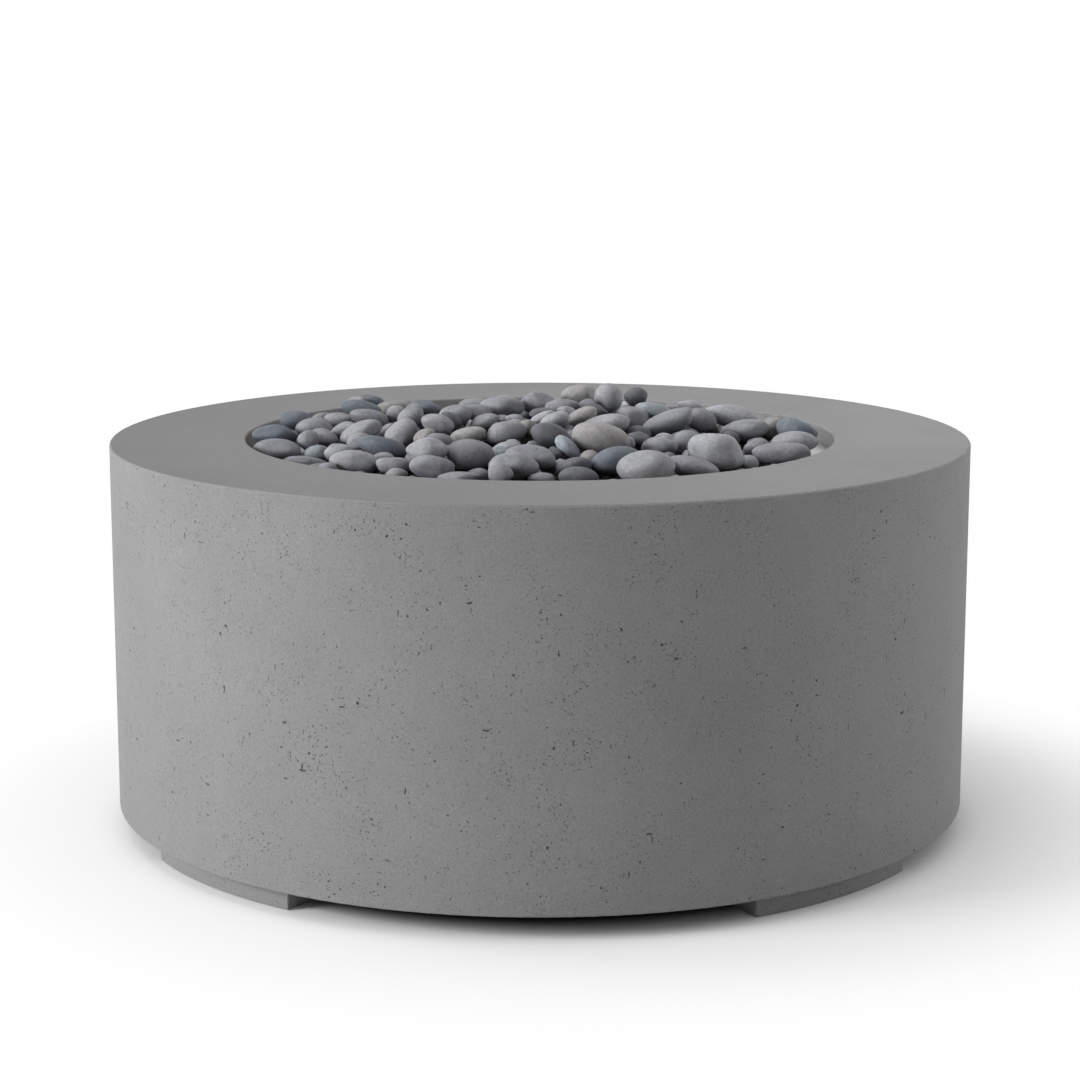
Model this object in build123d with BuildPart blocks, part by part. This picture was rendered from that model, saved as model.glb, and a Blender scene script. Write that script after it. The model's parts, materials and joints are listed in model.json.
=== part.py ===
from build123d import *
import math
import os

import numpy as np

# A cast concrete gas fire bowl. Lengths are in millimetres, +Z is up and the origin is on the floor
# under the middle of the bowl. The front is the -Y side and the controls are at the rear.

os.makedirs("parts", exist_ok=True)

# Concrete shell
SHELL_D = 1016.0
SHELL_H = 431.8
WALL_T = 38.0
TOP_T = 50.0
OPENING_D = 698.5
LEDGE_W = 22.0
LEDGE_DROP = 22.0
BASE_RING_T = 35.0
BASE_RING_W = 83.0
ARRIS_R = 2.5

# Feet and what holds them
FOOT_H = 25.4
FOOT_INSET = 19.0
FOOT_W = 60.0
FOOT_ARC = 28.5
FOOT_EDGE_R = 1.5
FOOT_ANGLES = {
    "foot_rear_right": 45,
    "foot_rear_left": 135,
    "foot_front_left": 225,
    "foot_front_right": 315,
}
BOLT_SPACING = 126.0
BOLT_R = 4.0
BOLT_HEAD_R = 6.5
BOLT_HEAD_H = 8.0
BOLT_HEAD_GAP = 1.5
BOLT_SUNK = 2.0
BOLT_KEY_AF = 6.0
BOLT_KEY_DEPTH = 4.0
BOLT_REACH = 20.0
INSERT_WALL = 2.0
INSERT_L = 25.0

# Burner pan
PAN_T = 2.0
PAN_DEPTH = 80.0
PAN_SIDE_GAP = 3.0
PAN_RIM_GAP = 2.0
DRAIN_R = 6.0
DRAIN_CIRCLE_R = 285.0
DRAIN_COUNT = 8

# Ring burner on its standoffs
OUTER_RING_R = 200.0
INNER_RING_R = 110.0
TUBE_W = 19.0
TUBE_WALL = 1.5
SPOKE_ANGLES = (45, 135)
HUB_R = 18.0
HUB_GAP = 4.5
HUB_SOCKET = 6.0
PORT_R = 1.25
OUTER_PORTS = 24
INNER_PORTS = 12
STANDOFF_R = 6.0
STANDOFF_CIRCLE_R = 155.0
STANDOFF_COUNT = 4
SCREW_R = 2.0
SCREW_HEAD_R = 3.8
SCREW_HEAD_H = 2.5
STANDOFF_SCREW_L = 12.0

# Feed under the burner
NIPPLE_R = 10.5
NIPPLE_WALL = 2.6
NIPPLE_DROP = 27.0
LOCKNUT_AF = 32.0
LOCKNUT_H = 10.0
MIXER_R = 14.0
MIXER_WALL = 5.0
MIXER_H = 64.0
MIXER_SOCKET = 8.0
AIR_SLOT_W = 10.0
AIR_SLOT_H = 24.0
SPUD_R = 6.0
SPUD_L = 12.0
JET_R = 0.75
ORIFICE_AF = 19.0
ORIFICE_HEX_H = 12.0
ORIFICE_TAIL_R = 8.0
ORIFICE_TAIL_L = 10.0
PIPE_R = 6.35
PIPE_WALL = 1.1
PIPE_BEND_R = 25.0
PIPE_JOG_START = 45.0
PIPE_JOG_END = 115.0
PIPE_NUT_AF = 19.0
PIPE_NUT_H = 12.0

# Control box in the rear of the wall
PIPE_DROP = 40.2
RECESS_DEPTH = 18.0
BOX_W = 146.0
BOX_H = 96.0
BOX_DEPTH = 52.0
BOX_FLANGE = 14.0
BOX_T = 1.5
BOX_GAP = 2.0
BOX_SCREW_INSET = 7.0
BOX_SCREW_L = 22.0
KNOB_X = -25.0
IGNITER_X = 30.0

# Gas valve
VALVE_W = 40.0
VALVE_L = 42.0
OUTLET_R = 5.0
BONNET_W = 30.0
BONNET_T = 8.0
BONNET_SCREW_INSET = 5.0
BONNET_SCREW_L = 14.0
NOSE_R = 9.0
NOSE_L = 11.5
PANEL_NUT_AF = 24.0
PANEL_NUT_H = 6.0
PLUG_R = 8.0
PLUG_L = 26.0
PLUG_END_GAP = 0.3
PLUG_BORE_R = 4.0
PLUG_BORE_DEPTH = 7.0
PLUG_PORT_R = 2.5
SOCKET_DEPTH = 16.0
STEM_R = 4.0
STEM_SQUARE = 6.0
INLET_AF = 19.0
INLET_HEX_H = 12.0
INLET_R = 7.9
INLET_L = 18.0
INLET_BORE_R = 4.0

# Control knob
PUSH_TRAVEL = 4.0
PUSH_SPARE = 1.0
SKIRT_R = 21.0
SKIRT_H = 8.0
GRIP_R = 16.5
GRIP_H = 19.0
KNOB_EDGE_R = 1.5
STEM_IN_KNOB = 22.0
FLUTE_R = 2.2
FLUTE_COUNT = 12
POINTER_W = 2.0
POINTER_DEPTH = 1.0
SET_SCREW_R = 2.0
SET_SCREW_L = 9.0

# Push-button igniter
IGNITER_R = 13.0
IGNITER_L = 60.0
IGNITER_END_T = 3.0
IGNITER_NOSE_R = 11.0
IGNITER_NOSE_L = 11.5
IGNITER_NUT_AF = 27.0
IGNITER_NUT_H = 6.0
BATTERY_R = 7.25
BATTERY_L = 50.5
BUTTON_R = 8.0
BUTTON_L = 20.0
BUTTON_EDGE_R = 1.2

# Pilot: spark electrode and thermocouple on a bracket, and their leads
PROBE_OFFSET = 14.0
BRACKET_W = 44.0
BRACKET_T = 1.5
BRACKET_H = 30.0
BRACKET_TAB_L = 16.0
BRACKET_BASE_L = 18.0
BRACKET_REACH = 10.0
BRACKET_SCREW_L = 7.0
BRACKET_SCREW_OFFSET = 14.0
CERAMIC_R = 3.5
CERAMIC_BELOW = 12.0
CERAMIC_ABOVE = 16.0
COLLAR_R = 5.0
COLLAR_H = 3.0
ROD_R = 1.0
ROD_ABOVE = 8.0
PROBE_R = 2.5
PROBE_ABOVE = 20.0
LEAD_R = 1.5
LEAD_BEND_R = 30.0
SPARK_TURN_R = 20.0
SPARK_TURN_SHARES = (0.64, 0.84)
GROMMET_NECK_R = 6.0
GROMMET_LIP_R = 8.0
GROMMET_LIP_H = 2.5
CLIP_W = 40.0
CLIP_H = 18.0
CLIP_T = 8.0
CLIP_SHARES = (0.27, 0.5)

# Lava rock fill: its top is a shallow dome, measured from the rim
DOME_CREST = 4.0
DOME_EDGE_DROP = 42.0
CHANNEL_GAP = 1.0

# Fits and cuts
FIT_GAP = 0.1
RUN_GAP = 0.05
SLIDE_GAP = 0.3
PEBBLE_GAP = 0.25
CUT_OVERRUN = 5.0

# The photograph's view of the heap, with the eye placed in shares of the opening's radius
PHOTO_FOCAL_PX = 2582.0
PHOTO_CENTRE_PX = 540.0
PHOTO_PITCH = 10.457
PHOTO_TURN_ANGLE = 2.75
EYE_DISTANCE_SHARE = 8.751
EYE_RISE_SHARE = 1.2467

# Pebbles as the photograph shows them, in pixels and degrees:
# across, down, half length, half height and roll, from the far edge to the near one
PEBBLES_PX = [
    (578, 396, 17.5, 11.5, 8), (608.5, 398, 14.5, 15, 0), (636, 397, 12, 10, 10),
    (538, 403, 18.5, 11.5, 0), (371, 402.5, 12.5, 7.5, -12), (356, 401.5, 8.5, 5, 0),
    (690, 407, 14.5, 7.5, -10), (673, 408.5, 8.5, 4.5, -15), (586.5, 406, 11, 7, 10),
    (393, 408, 17.5, 7.5, 4), (474, 408.5, 12, 6, 0), (502, 407.5, 23, 11, -3),
    (424, 409, 18, 9.5, -5), (562, 407.5, 17.5, 8.5, 3), (361, 409, 20, 9, -16),
    (566, 411.5, 10, 5.5, 0), (654, 411, 20, 8, -9), (543, 413, 14, 5.5, 2),
    (396, 413.5, 11.5, 8, 8), (595, 411, 13, 7.5, -15), (477, 412.5, 15, 8.5, -9),
    (455, 416, 17, 11, 10), (731, 416, 28, 11.5, -11), (324, 418.5, 12.5, 6, 0),
    (338, 419.5, 13.5, 7, -2), (369.5, 417.5, 20, 8.5, -12), (411, 417, 14.5, 10.5, 32),
    (543, 418, 13.5, 6, 21), (632, 419, 17, 12.5, -12), (296, 420.5, 17, 10, -4),
    (503, 419.5, 6.5, 5, 0), (581.5, 419, 18, 10.5, 28), (514.5, 421, 10.5, 7, 0),
    (450, 422, 12, 9.5, -28), (554.5, 421, 15.5, 8.5, 23), (701, 420.5, 16, 12.5, -20),
    (484, 422.5, 16, 8.5, 15), (667, 423, 28, 11.5, 20), (606, 425.5, 24, 11.5, 4),
    (437.5, 424, 17, 10, -16), (315, 428, 19.5, 10.5, -2), (772, 428, 12, 11, 20),
    (528.5, 427.5, 10, 8, -5), (744, 430.5, 25, 11, 9), (346, 430, 16, 8.5, 16),
    (797, 431, 21, 12.5, -6), (385.5, 432, 12, 6, 38), (506, 433, 21, 12, 14),
    (361, 432, 22, 10.5, 19), (275, 435, 23, 10.5, -1), (402, 434, 17.5, 13, 40),
    (550, 436.5, 20.5, 13.5, -14), (468, 436, 18.5, 9, 10), (424.5, 436.5, 12, 7.5, 20),
    (730.5, 438, 10, 7, -15), (324.5, 439, 14.5, 10, -18), (639, 439.5, 13, 8, -15),
    (308.5, 440.5, 11.5, 10.5, 0), (794.5, 443, 23.5, 12, -1), (359, 442, 12.5, 9, 10),
    (601.5, 439.5, 30, 16.5, -12), (437, 442, 16, 9, 0), (686, 443, 15, 13, 8),
    (382, 448, 24.5, 11, -13), (507, 448.5, 14.5, 7, 9), (567.5, 448, 15.5, 8.5, -42),
    (557, 453.5, 6, 4, -45), (659.5, 448, 18.5, 11.5, 5), (757, 448.5, 14, 9, 10),
    (277, 449, 24, 10.5, -4), (317, 453.5, 13.5, 8.5, 2), (338.5, 453, 14.5, 9.5, -5),
    (716, 452, 29, 19, -11), (470, 454.5, 25, 15.5, 0), (427, 450.5, 21, 13, 6),
    (781, 454, 29, 12, 5), (383, 458.5, 11.5, 6.5, 4), (530, 458, 26, 13.5, -6),
    (616, 461, 26.5, 14.5, 12), (354, 462.5, 25, 12.5, -5), (394, 466, 18.5, 9, -6),
    (514, 465.5, 25.5, 13.5, -3), (574, 468, 18.5, 10.5, 11), (305, 463.5, 23, 7.5, -6),
    (432, 467.5, 23, 12.5, -4), (693, 467.5, 27, 11, -13), (646, 468, 29.5, 18, 3),
    (327, 468.5, 10, 6, 2), (478, 475, 12, 7, 0), (396.5, 474, 11.5, 6, 0),
    (500.5, 474, 13, 10.5, -12), (541.5, 479.5, 14, 7, 0), (578.5, 477, 20.5, 10.5, -2),
    (459, 479, 22, 7.5, 0),
]

# Pebbles that fill the far side and the bare places, in shares of the opening's radius:
# half length, half width and half height
FILL_SPREAD_SHARE = 0.073
LARGE_FILL_SHARES = [
    (0.086, 0.068, 0.043),
    (0.072, 0.058, 0.038),
    (0.060, 0.048, 0.034),
    (0.078, 0.056, 0.040),
]
SMALL_FILL_SHARES = [(0.045, 0.037, 0.029), (0.038, 0.033, 0.026)]
FILL_TURN_ANGLE = 67.0
GOLDEN_ANGLE = 137.508
BACK_FILL_SHARE = 0.12
FILL_ROUND_SHARES = (0.0, 0.36, 0.7)

# How a pebble finds its place: where its slide starts and ends, in shares of the opening's radius
# from the middle of the heap, or of its own half height above the lava
SLIDE_NEAR_SHARE = 1.2
SLIDE_FAR_SHARE = 1.3
SLIDE_STEP_COUNT = 140
DROP_SHARE = 3.0
REST_SHARE = 1.5
DROP_STEP_COUNT = 24
HALVING_COUNT = 8
SAMPLE_ANGLE = 9

# Levels and radii that follow from these
shell_r = SHELL_D / 2
shell_base = FOOT_H
shell_top = shell_base + SHELL_H
opening_r = OPENING_D / 2
throat_r = opening_r - LEDGE_W
cavity_r = shell_r - WALL_T
base_opening_r = shell_r - BASE_RING_W
ledge_z = shell_top - LEDGE_DROP
slab_z = shell_top - TOP_T
base_ring_z = shell_base + BASE_RING_T

foot_outer_r = shell_r - FOOT_INSET
foot_inner_r = foot_outer_r - FOOT_W
bolt_circle_r = (foot_outer_r + foot_inner_r) / 2
bolt_half_angle = math.degrees(math.asin(BOLT_SPACING / 2 / bolt_circle_r))
bolt_head_top = BOLT_SUNK + BOLT_HEAD_H
insert_r = BOLT_R + FIT_GAP + INSERT_WALL

pan_r = throat_r - PAN_SIDE_GAP
pan_inner_r = pan_r - PAN_T
pan_flange_r = opening_r - PAN_RIM_GAP
pan_flange_top = ledge_z + PAN_T
pan_under = ledge_z - PAN_DEPTH
pan_floor = pan_under + PAN_T

hub_base = pan_floor + LOCKNUT_H + HUB_GAP
burner_base = hub_base + HUB_SOCKET
burner_top = burner_base + TUBE_W
nipple_base = pan_under - LOCKNUT_H - NIPPLE_DROP
mixer_top = nipple_base + MIXER_SOCKET
mixer_base = mixer_top - MIXER_H
orifice_base = mixer_base - ORIFICE_HEX_H
pipe_top = orifice_base - ORIFICE_TAIL_L
control_z = pipe_top - PIPE_DROP

recess_y = shell_r - RECESS_DEPTH
box_floor_y = recess_y - BOX_DEPTH
box_back_y = box_floor_y - BOX_T
box_screws_across = BOX_W + 2 * BOX_SCREW_INSET
box_screws_up = BOX_H + 2 * BOX_SCREW_INSET
bonnet_screws_apart = BONNET_W - 2 * BONNET_SCREW_INSET
valve_face_y = box_back_y - BONNET_T
valve_back_y = valve_face_y - VALVE_L
plug_top_y = valve_face_y - PLUG_END_GAP
plug_end_y = plug_top_y - PLUG_L
port_y = plug_end_y + PLUG_BORE_DEPTH / 2
socket_floor_y = plug_top_y - SOCKET_DEPTH
stem_end_y = socket_floor_y + PUSH_TRAVEL + PUSH_SPARE
square_end_y = plug_top_y + PUSH_TRAVEL + PUSH_SPARE
stem_hole_r = max(STEM_R, STEM_SQUARE / math.sqrt(2)) + RUN_GAP
nose_end_y = box_back_y + NOSE_L
knob_y = nose_end_y + PUSH_TRAVEL + PUSH_SPARE
stem_tip_y = knob_y + STEM_IN_KNOB
igniter_end_y = box_back_y - IGNITER_L
battery_y = igniter_end_y + IGNITER_END_T
battery_top_y = battery_y + BATTERY_L
button_y = battery_top_y + PUSH_TRAVEL + PUSH_SPARE
igniter_nose_y = box_back_y + IGNITER_NOSE_L

pilot_y = (OUTER_RING_R + INNER_RING_R) / 2
tab_z = pan_floor + BRACKET_H
upright_y = pilot_y + BRACKET_REACH
probe_x = KNOB_X - PROBE_OFFSET
spark_x = KNOB_X + PROBE_OFFSET
lead_top = tab_z - CERAMIC_BELOW
lead_run = igniter_end_y - pilot_y

dome_crest_z = shell_top + DOME_CREST
dome_rise = DOME_CREST + DOME_EDGE_DROP
dome_r = (opening_r**2 + dome_rise**2) / (2 * dome_rise)
dome_centre_z = dome_crest_z - dome_r
bed_r = pan_inner_r - CHANNEL_GAP / 2


def polar(radius, degrees):
    """The point at this radius and angle about the bowl's axis."""
    return (radius * math.cos(math.radians(degrees)), radius * math.sin(math.radians(degrees)))


def dome_z(radius):
    """The height of the lava's dome at this distance from the bowl's axis."""
    return dome_centre_z + math.sqrt(dome_r**2 - radius**2)


def control_plane(y, x=0.0):
    """A plane at this depth in the rear wall, facing out, with its middle on a control's axis."""
    return Plane(origin=(x, y, control_z), x_dir=(-1, 0, 0), z_dir=(0, 1, 0))


def keep(piece, name):
    """Label a finished piece and write it."""
    piece.label = name
    export_step(piece, f"parts/{name}.step")


bolt_points = []
for foot_angle in FOOT_ANGLES.values():
    for side in (-1, 1):
        bolt_points.append(polar(bolt_circle_r, foot_angle + side * bolt_half_angle))

# Concrete shell: one turned section, then the recess for the controls and the holes for the inserts
with BuildPart() as concrete_shell:
    with BuildSketch(Plane.XZ):
        with BuildLine():
            Polyline(
                (shell_r, shell_base),
                (shell_r, shell_top),
                (opening_r, shell_top),
                (opening_r, ledge_z),
                (throat_r, ledge_z),
                (throat_r, slab_z),
                (cavity_r, slab_z),
                (cavity_r, base_ring_z),
                (base_opening_r, base_ring_z),
                (base_opening_r, shell_base),
                close=True,
            )
        make_face()
    revolve(axis=Axis.Z)
    rounds = edges().filter_by(GeomType.CIRCLE)
    rim_rounds = rounds.group_by(Axis.Z)[-1]
    base_round = rounds.group_by(Axis.Z)[0].sort_by(SortBy.RADIUS)[-1]
    fillet(rim_rounds + [base_round], ARRIS_R)
    with BuildSketch(control_plane(recess_y)):
        Rectangle(BOX_W + 2 * (BOX_FLANGE + BOX_GAP), BOX_H + 2 * (BOX_FLANGE + BOX_GAP))
    extrude(amount=RECESS_DEPTH + CUT_OVERRUN, mode=Mode.SUBTRACT)
    with BuildSketch(control_plane(recess_y)):
        Rectangle(BOX_W + 2 * BOX_GAP, BOX_H + 2 * BOX_GAP)
    extrude(amount=-(BOX_DEPTH + CUT_OVERRUN), mode=Mode.SUBTRACT)
    with BuildSketch(control_plane(recess_y)):
        with GridLocations(box_screws_across, box_screws_up, 2, 2):
            Circle(SCREW_R + FIT_GAP)
    extrude(amount=-BOX_SCREW_L, mode=Mode.SUBTRACT)
    with BuildSketch(Plane.XY.offset(shell_base)):
        with Locations(*bolt_points):
            Circle(insert_r + FIT_GAP)
    extrude(amount=INSERT_L, mode=Mode.SUBTRACT)
keep(concrete_shell.part, "concrete_shell")

# Feet: four arcs of the same concrete, each with two counterbored holes
for foot_name, foot_angle in FOOT_ANGLES.items():
    start_angle = foot_angle - FOOT_ARC / 2
    with BuildPart() as foot:
        with BuildSketch():
            with BuildLine():
                outer = CenterArc((0, 0), foot_outer_r, start_angle, FOOT_ARC)
                inner = CenterArc((0, 0), foot_inner_r, start_angle, FOOT_ARC)
                Line(outer @ 0, inner @ 0)
                Line(outer @ 1, inner @ 1)
            make_face()
        extrude(amount=FOOT_H)
        fillet(foot.edges().filter_by(Axis.Z) + foot.edges().group_by(Axis.Z)[0], FOOT_EDGE_R)
        for side in (-1, 1):
            hole_x, hole_y = polar(bolt_circle_r, foot_angle + side * bolt_half_angle)
            with Locations(Location((hole_x, hole_y, 0), (180, 0, 0))):
                CounterBoreHole(BOLT_R + FIT_GAP, BOLT_HEAD_R + BOLT_HEAD_GAP, bolt_head_top)
    keep(foot.part, foot_name)

with BuildPart() as foot_bolts:
    with BuildSketch(Plane.XY.offset(BOLT_SUNK)):
        with Locations(*bolt_points):
            Circle(BOLT_HEAD_R)
    extrude(amount=BOLT_HEAD_H)
    with BuildSketch(Plane.XY.offset(bolt_head_top)):
        with Locations(*bolt_points):
            Circle(BOLT_R)
    extrude(amount=shell_base + BOLT_REACH - bolt_head_top)
    with BuildSketch(Plane.XY.offset(BOLT_SUNK)):
        with Locations(*bolt_points):
            RegularPolygon(BOLT_KEY_AF / 2, 6, major_radius=False)
    extrude(amount=BOLT_KEY_DEPTH, mode=Mode.SUBTRACT)
keep(foot_bolts.part, "foot_bolts")

with BuildPart() as foot_inserts:
    with BuildSketch(Plane.XY.offset(shell_base)):
        with Locations(*bolt_points):
            Circle(insert_r)
            Circle(BOLT_R + FIT_GAP, mode=Mode.SUBTRACT)
    extrude(amount=INSERT_L)
keep(foot_inserts.part, "foot_inserts")

# Burner pan: it hangs on the ledge by its flange
standoff_points = []
for quarter in range(STANDOFF_COUNT):
    standoff_points.append(polar(STANDOFF_CIRCLE_R, SPOKE_ANGLES[0] + quarter * 360 / STANDOFF_COUNT))
lead_points = [(probe_x, pilot_y), (spark_x, pilot_y)]
bracket_screw_y = upright_y + BRACKET_T + (BRACKET_BASE_L - BRACKET_T) / 2
bracket_screw_points = [
    (KNOB_X - BRACKET_SCREW_OFFSET, bracket_screw_y),
    (KNOB_X + BRACKET_SCREW_OFFSET, bracket_screw_y),
]

with BuildPart() as burner_pan:
    with BuildSketch(Plane.XZ):
        with BuildLine():
            Polyline(
                (0, pan_under),
                (pan_r, pan_under),
                (pan_r, ledge_z),
                (pan_flange_r, ledge_z),
                (pan_flange_r, pan_flange_top),
                (pan_inner_r, pan_flange_top),
                (pan_inner_r, pan_floor),
                (0, pan_floor),
                close=True,
            )
        make_face()
    revolve(axis=Axis.Z)
    with BuildSketch(Plane.XY.offset(pan_under)):
        Circle(NIPPLE_R + FIT_GAP)
        with PolarLocations(DRAIN_CIRCLE_R, DRAIN_COUNT):
            Circle(DRAIN_R)
        with Locations(*standoff_points, *bracket_screw_points):
            Circle(SCREW_R + FIT_GAP)
        with Locations(*lead_points):
            Circle(GROMMET_NECK_R + FIT_GAP)
    extrude(amount=PAN_T, mode=Mode.SUBTRACT)
keep(burner_pan.part, "burner_pan")

# Ring burner: two rings on crossed spokes about a hub, of square tube welded into one hollow piece
with BuildPart() as ring_burner:
    for wall, burner_mode in ((0, Mode.ADD), (TUBE_WALL, Mode.SUBTRACT)):
        with BuildSketch(Plane.XY.offset(burner_base + wall)):
            for ring_r in (OUTER_RING_R, INNER_RING_R):
                Circle(ring_r + TUBE_W / 2 - wall)
                Circle(ring_r - TUBE_W / 2 + wall, mode=Mode.SUBTRACT)
            for angle in SPOKE_ANGLES:
                Rectangle(2 * OUTER_RING_R, TUBE_W - 2 * wall, rotation=angle)
            Circle(HUB_R - wall)
        extrude(amount=TUBE_W - 2 * wall, mode=burner_mode)
    with BuildSketch(Plane.XY.offset(hub_base)):
        Circle(HUB_R)
        Circle(NIPPLE_R + FIT_GAP, mode=Mode.SUBTRACT)
    extrude(amount=HUB_SOCKET)
    with BuildSketch(Plane.XY.offset(burner_base)):
        Circle(NIPPLE_R - NIPPLE_WALL)
    extrude(amount=TUBE_WALL, mode=Mode.SUBTRACT)
    with BuildSketch(Plane.XY.offset(burner_top)):
        with PolarLocations(OUTER_RING_R, OUTER_PORTS, start_angle=180 / OUTER_PORTS):
            Circle(PORT_R)
        with PolarLocations(INNER_RING_R, INNER_PORTS, start_angle=180 / INNER_PORTS):
            Circle(PORT_R)
    extrude(amount=-TUBE_WALL, mode=Mode.SUBTRACT)
keep(ring_burner.part, "ring_burner")

with BuildPart() as burner_standoffs:
    with BuildSketch(Plane.XY.offset(pan_floor)):
        with Locations(*standoff_points):
            Circle(STANDOFF_R)
    extrude(amount=burner_base - pan_floor)
    with BuildSketch(Plane.XY.offset(pan_floor)):
        with Locations(*standoff_points):
            Circle(SCREW_R + FIT_GAP)
    extrude(amount=STANDOFF_SCREW_L, mode=Mode.SUBTRACT)
keep(burner_standoffs.part, "burner_standoffs")

with BuildPart() as standoff_screws:
    with BuildSketch(Plane.XY.offset(pan_under)):
        with Locations(*standoff_points):
            Circle(SCREW_HEAD_R)
    extrude(amount=-SCREW_HEAD_H)
    with BuildSketch(Plane.XY.offset(pan_under)):
        with Locations(*standoff_points):
            Circle(SCREW_R)
    extrude(amount=STANDOFF_SCREW_L)
keep(standoff_screws.part, "standoff_screws")

# Feed: nipple, locknuts, air mixer, orifice and pipe
with BuildPart() as hub_nipple:
    with BuildSketch(Plane.XY.offset(nipple_base)):
        Circle(NIPPLE_R)
        Circle(NIPPLE_R - NIPPLE_WALL, mode=Mode.SUBTRACT)
    extrude(amount=burner_base - nipple_base)
keep(hub_nipple.part, "hub_nipple")

with BuildPart() as hub_locknuts:
    for nut_z in (pan_floor, pan_under - LOCKNUT_H):
        with BuildSketch(Plane.XY.offset(nut_z)):
            RegularPolygon(LOCKNUT_AF / 2, 6, major_radius=False)
            Circle(NIPPLE_R + FIT_GAP, mode=Mode.SUBTRACT)
        extrude(amount=LOCKNUT_H)
keep(hub_locknuts.part, "hub_locknuts")

with BuildPart() as air_mixer:
    with BuildSketch(Plane.XY.offset(mixer_base)):
        Circle(MIXER_R)
    extrude(amount=MIXER_H)
    with BuildSketch(Plane.XY.offset(mixer_top)):
        Circle(NIPPLE_R + FIT_GAP)
    extrude(amount=-MIXER_SOCKET, mode=Mode.SUBTRACT)
    with BuildSketch(Plane.XY.offset(mixer_base + SPUD_L)):
        Circle(MIXER_R - MIXER_WALL)
    extrude(amount=nipple_base - mixer_base - SPUD_L, mode=Mode.SUBTRACT)
    with BuildSketch(Plane.XY.offset(mixer_base)):
        Circle(SPUD_R + FIT_GAP)
    extrude(amount=SPUD_L, mode=Mode.SUBTRACT)
    with BuildSketch(Plane.YZ.offset(-MIXER_R)):
        with Locations((0, (mixer_base + SPUD_L + nipple_base) / 2)):
            SlotOverall(AIR_SLOT_H, AIR_SLOT_W, rotation=90)
    extrude(amount=2 * MIXER_R, mode=Mode.SUBTRACT)
keep(air_mixer.part, "air_mixer")

with BuildPart() as gas_orifice:
    with BuildSketch(Plane.XY.offset(orifice_base)):
        RegularPolygon(ORIFICE_AF / 2, 6, major_radius=False)
    extrude(amount=ORIFICE_HEX_H)
    with BuildSketch(Plane.XY.offset(mixer_base)):
        Circle(SPUD_R)
    extrude(amount=SPUD_L)
    with BuildSketch(Plane.XY.offset(pipe_top)):
        Circle(ORIFICE_TAIL_R)
    extrude(amount=ORIFICE_TAIL_L)
    with BuildSketch(Plane.XY.offset(pipe_top)):
        Circle(PIPE_R - PIPE_WALL)
    extrude(amount=ORIFICE_TAIL_L + ORIFICE_HEX_H, mode=Mode.SUBTRACT)
    with BuildSketch(Plane.XY.offset(mixer_base)):
        Circle(JET_R)
    extrude(amount=SPUD_L, mode=Mode.SUBTRACT)
keep(gas_orifice.part, "gas_orifice")

with BuildPart() as gas_pipe:
    with BuildLine() as pipe_route:
        FilletPolyline(
            (0, 0, pipe_top),
            (0, 0, control_z),
            (0, PIPE_JOG_START, control_z),
            (KNOB_X, PIPE_JOG_END, control_z),
            (KNOB_X, valve_back_y, control_z),
            radius=PIPE_BEND_R,
        )
    with BuildSketch(Plane(origin=(0, 0, pipe_top), z_dir=(0, 0, -1))):
        Circle(PIPE_R)
        Circle(PIPE_R - PIPE_WALL, mode=Mode.SUBTRACT)
    sweep(path=pipe_route.wires()[0])
keep(gas_pipe.part, "gas_pipe")

top_nut_plane = Plane.XY.offset(pipe_top - PIPE_NUT_H)
valve_nut_plane = control_plane(valve_back_y - PIPE_NUT_H, KNOB_X)
with BuildPart() as pipe_nuts:
    for nut_plane in (top_nut_plane, valve_nut_plane):
        with BuildSketch(nut_plane):
            RegularPolygon(PIPE_NUT_AF / 2, 6, major_radius=False)
            Circle(PIPE_R + FIT_GAP, mode=Mode.SUBTRACT)
        extrude(amount=PIPE_NUT_H)
keep(pipe_nuts.part, "pipe_nuts")

# Control box: a folded tub whose flange lies in the recess
with BuildPart() as control_box:
    with BuildSketch(control_plane(recess_y)):
        Rectangle(BOX_W + 2 * BOX_FLANGE, BOX_H + 2 * BOX_FLANGE)
    extrude(amount=BOX_T)
    with BuildSketch(control_plane(recess_y)):
        Rectangle(BOX_W, BOX_H)
    extrude(amount=box_back_y - recess_y)
    with BuildSketch(control_plane(box_floor_y)):
        Rectangle(BOX_W - 2 * BOX_T, BOX_H - 2 * BOX_T)
    extrude(amount=BOX_DEPTH + BOX_T, mode=Mode.SUBTRACT)
    with BuildSketch(control_plane(recess_y)):
        with GridLocations(box_screws_across, box_screws_up, 2, 2):
            Circle(SCREW_R + FIT_GAP)
    extrude(amount=BOX_T, mode=Mode.SUBTRACT)
    with BuildSketch(control_plane(box_back_y, KNOB_X)):
        Circle(NOSE_R + FIT_GAP)
    extrude(amount=BOX_T, mode=Mode.SUBTRACT)
    with BuildSketch(control_plane(box_back_y, IGNITER_X)):
        Circle(IGNITER_NOSE_R + FIT_GAP)
    extrude(amount=BOX_T, mode=Mode.SUBTRACT)
keep(control_box.part, "control_box")

with BuildPart() as control_box_screws:
    with BuildSketch(control_plane(recess_y + BOX_T)):
        with GridLocations(box_screws_across, box_screws_up, 2, 2):
            Circle(SCREW_HEAD_R)
    extrude(amount=SCREW_HEAD_H)
    with BuildSketch(control_plane(recess_y + BOX_T)):
        with GridLocations(box_screws_across, box_screws_up, 2, 2):
            Circle(SCREW_R)
    extrude(amount=-BOX_SCREW_L)
keep(control_box_screws.part, "control_box_screws")

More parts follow.
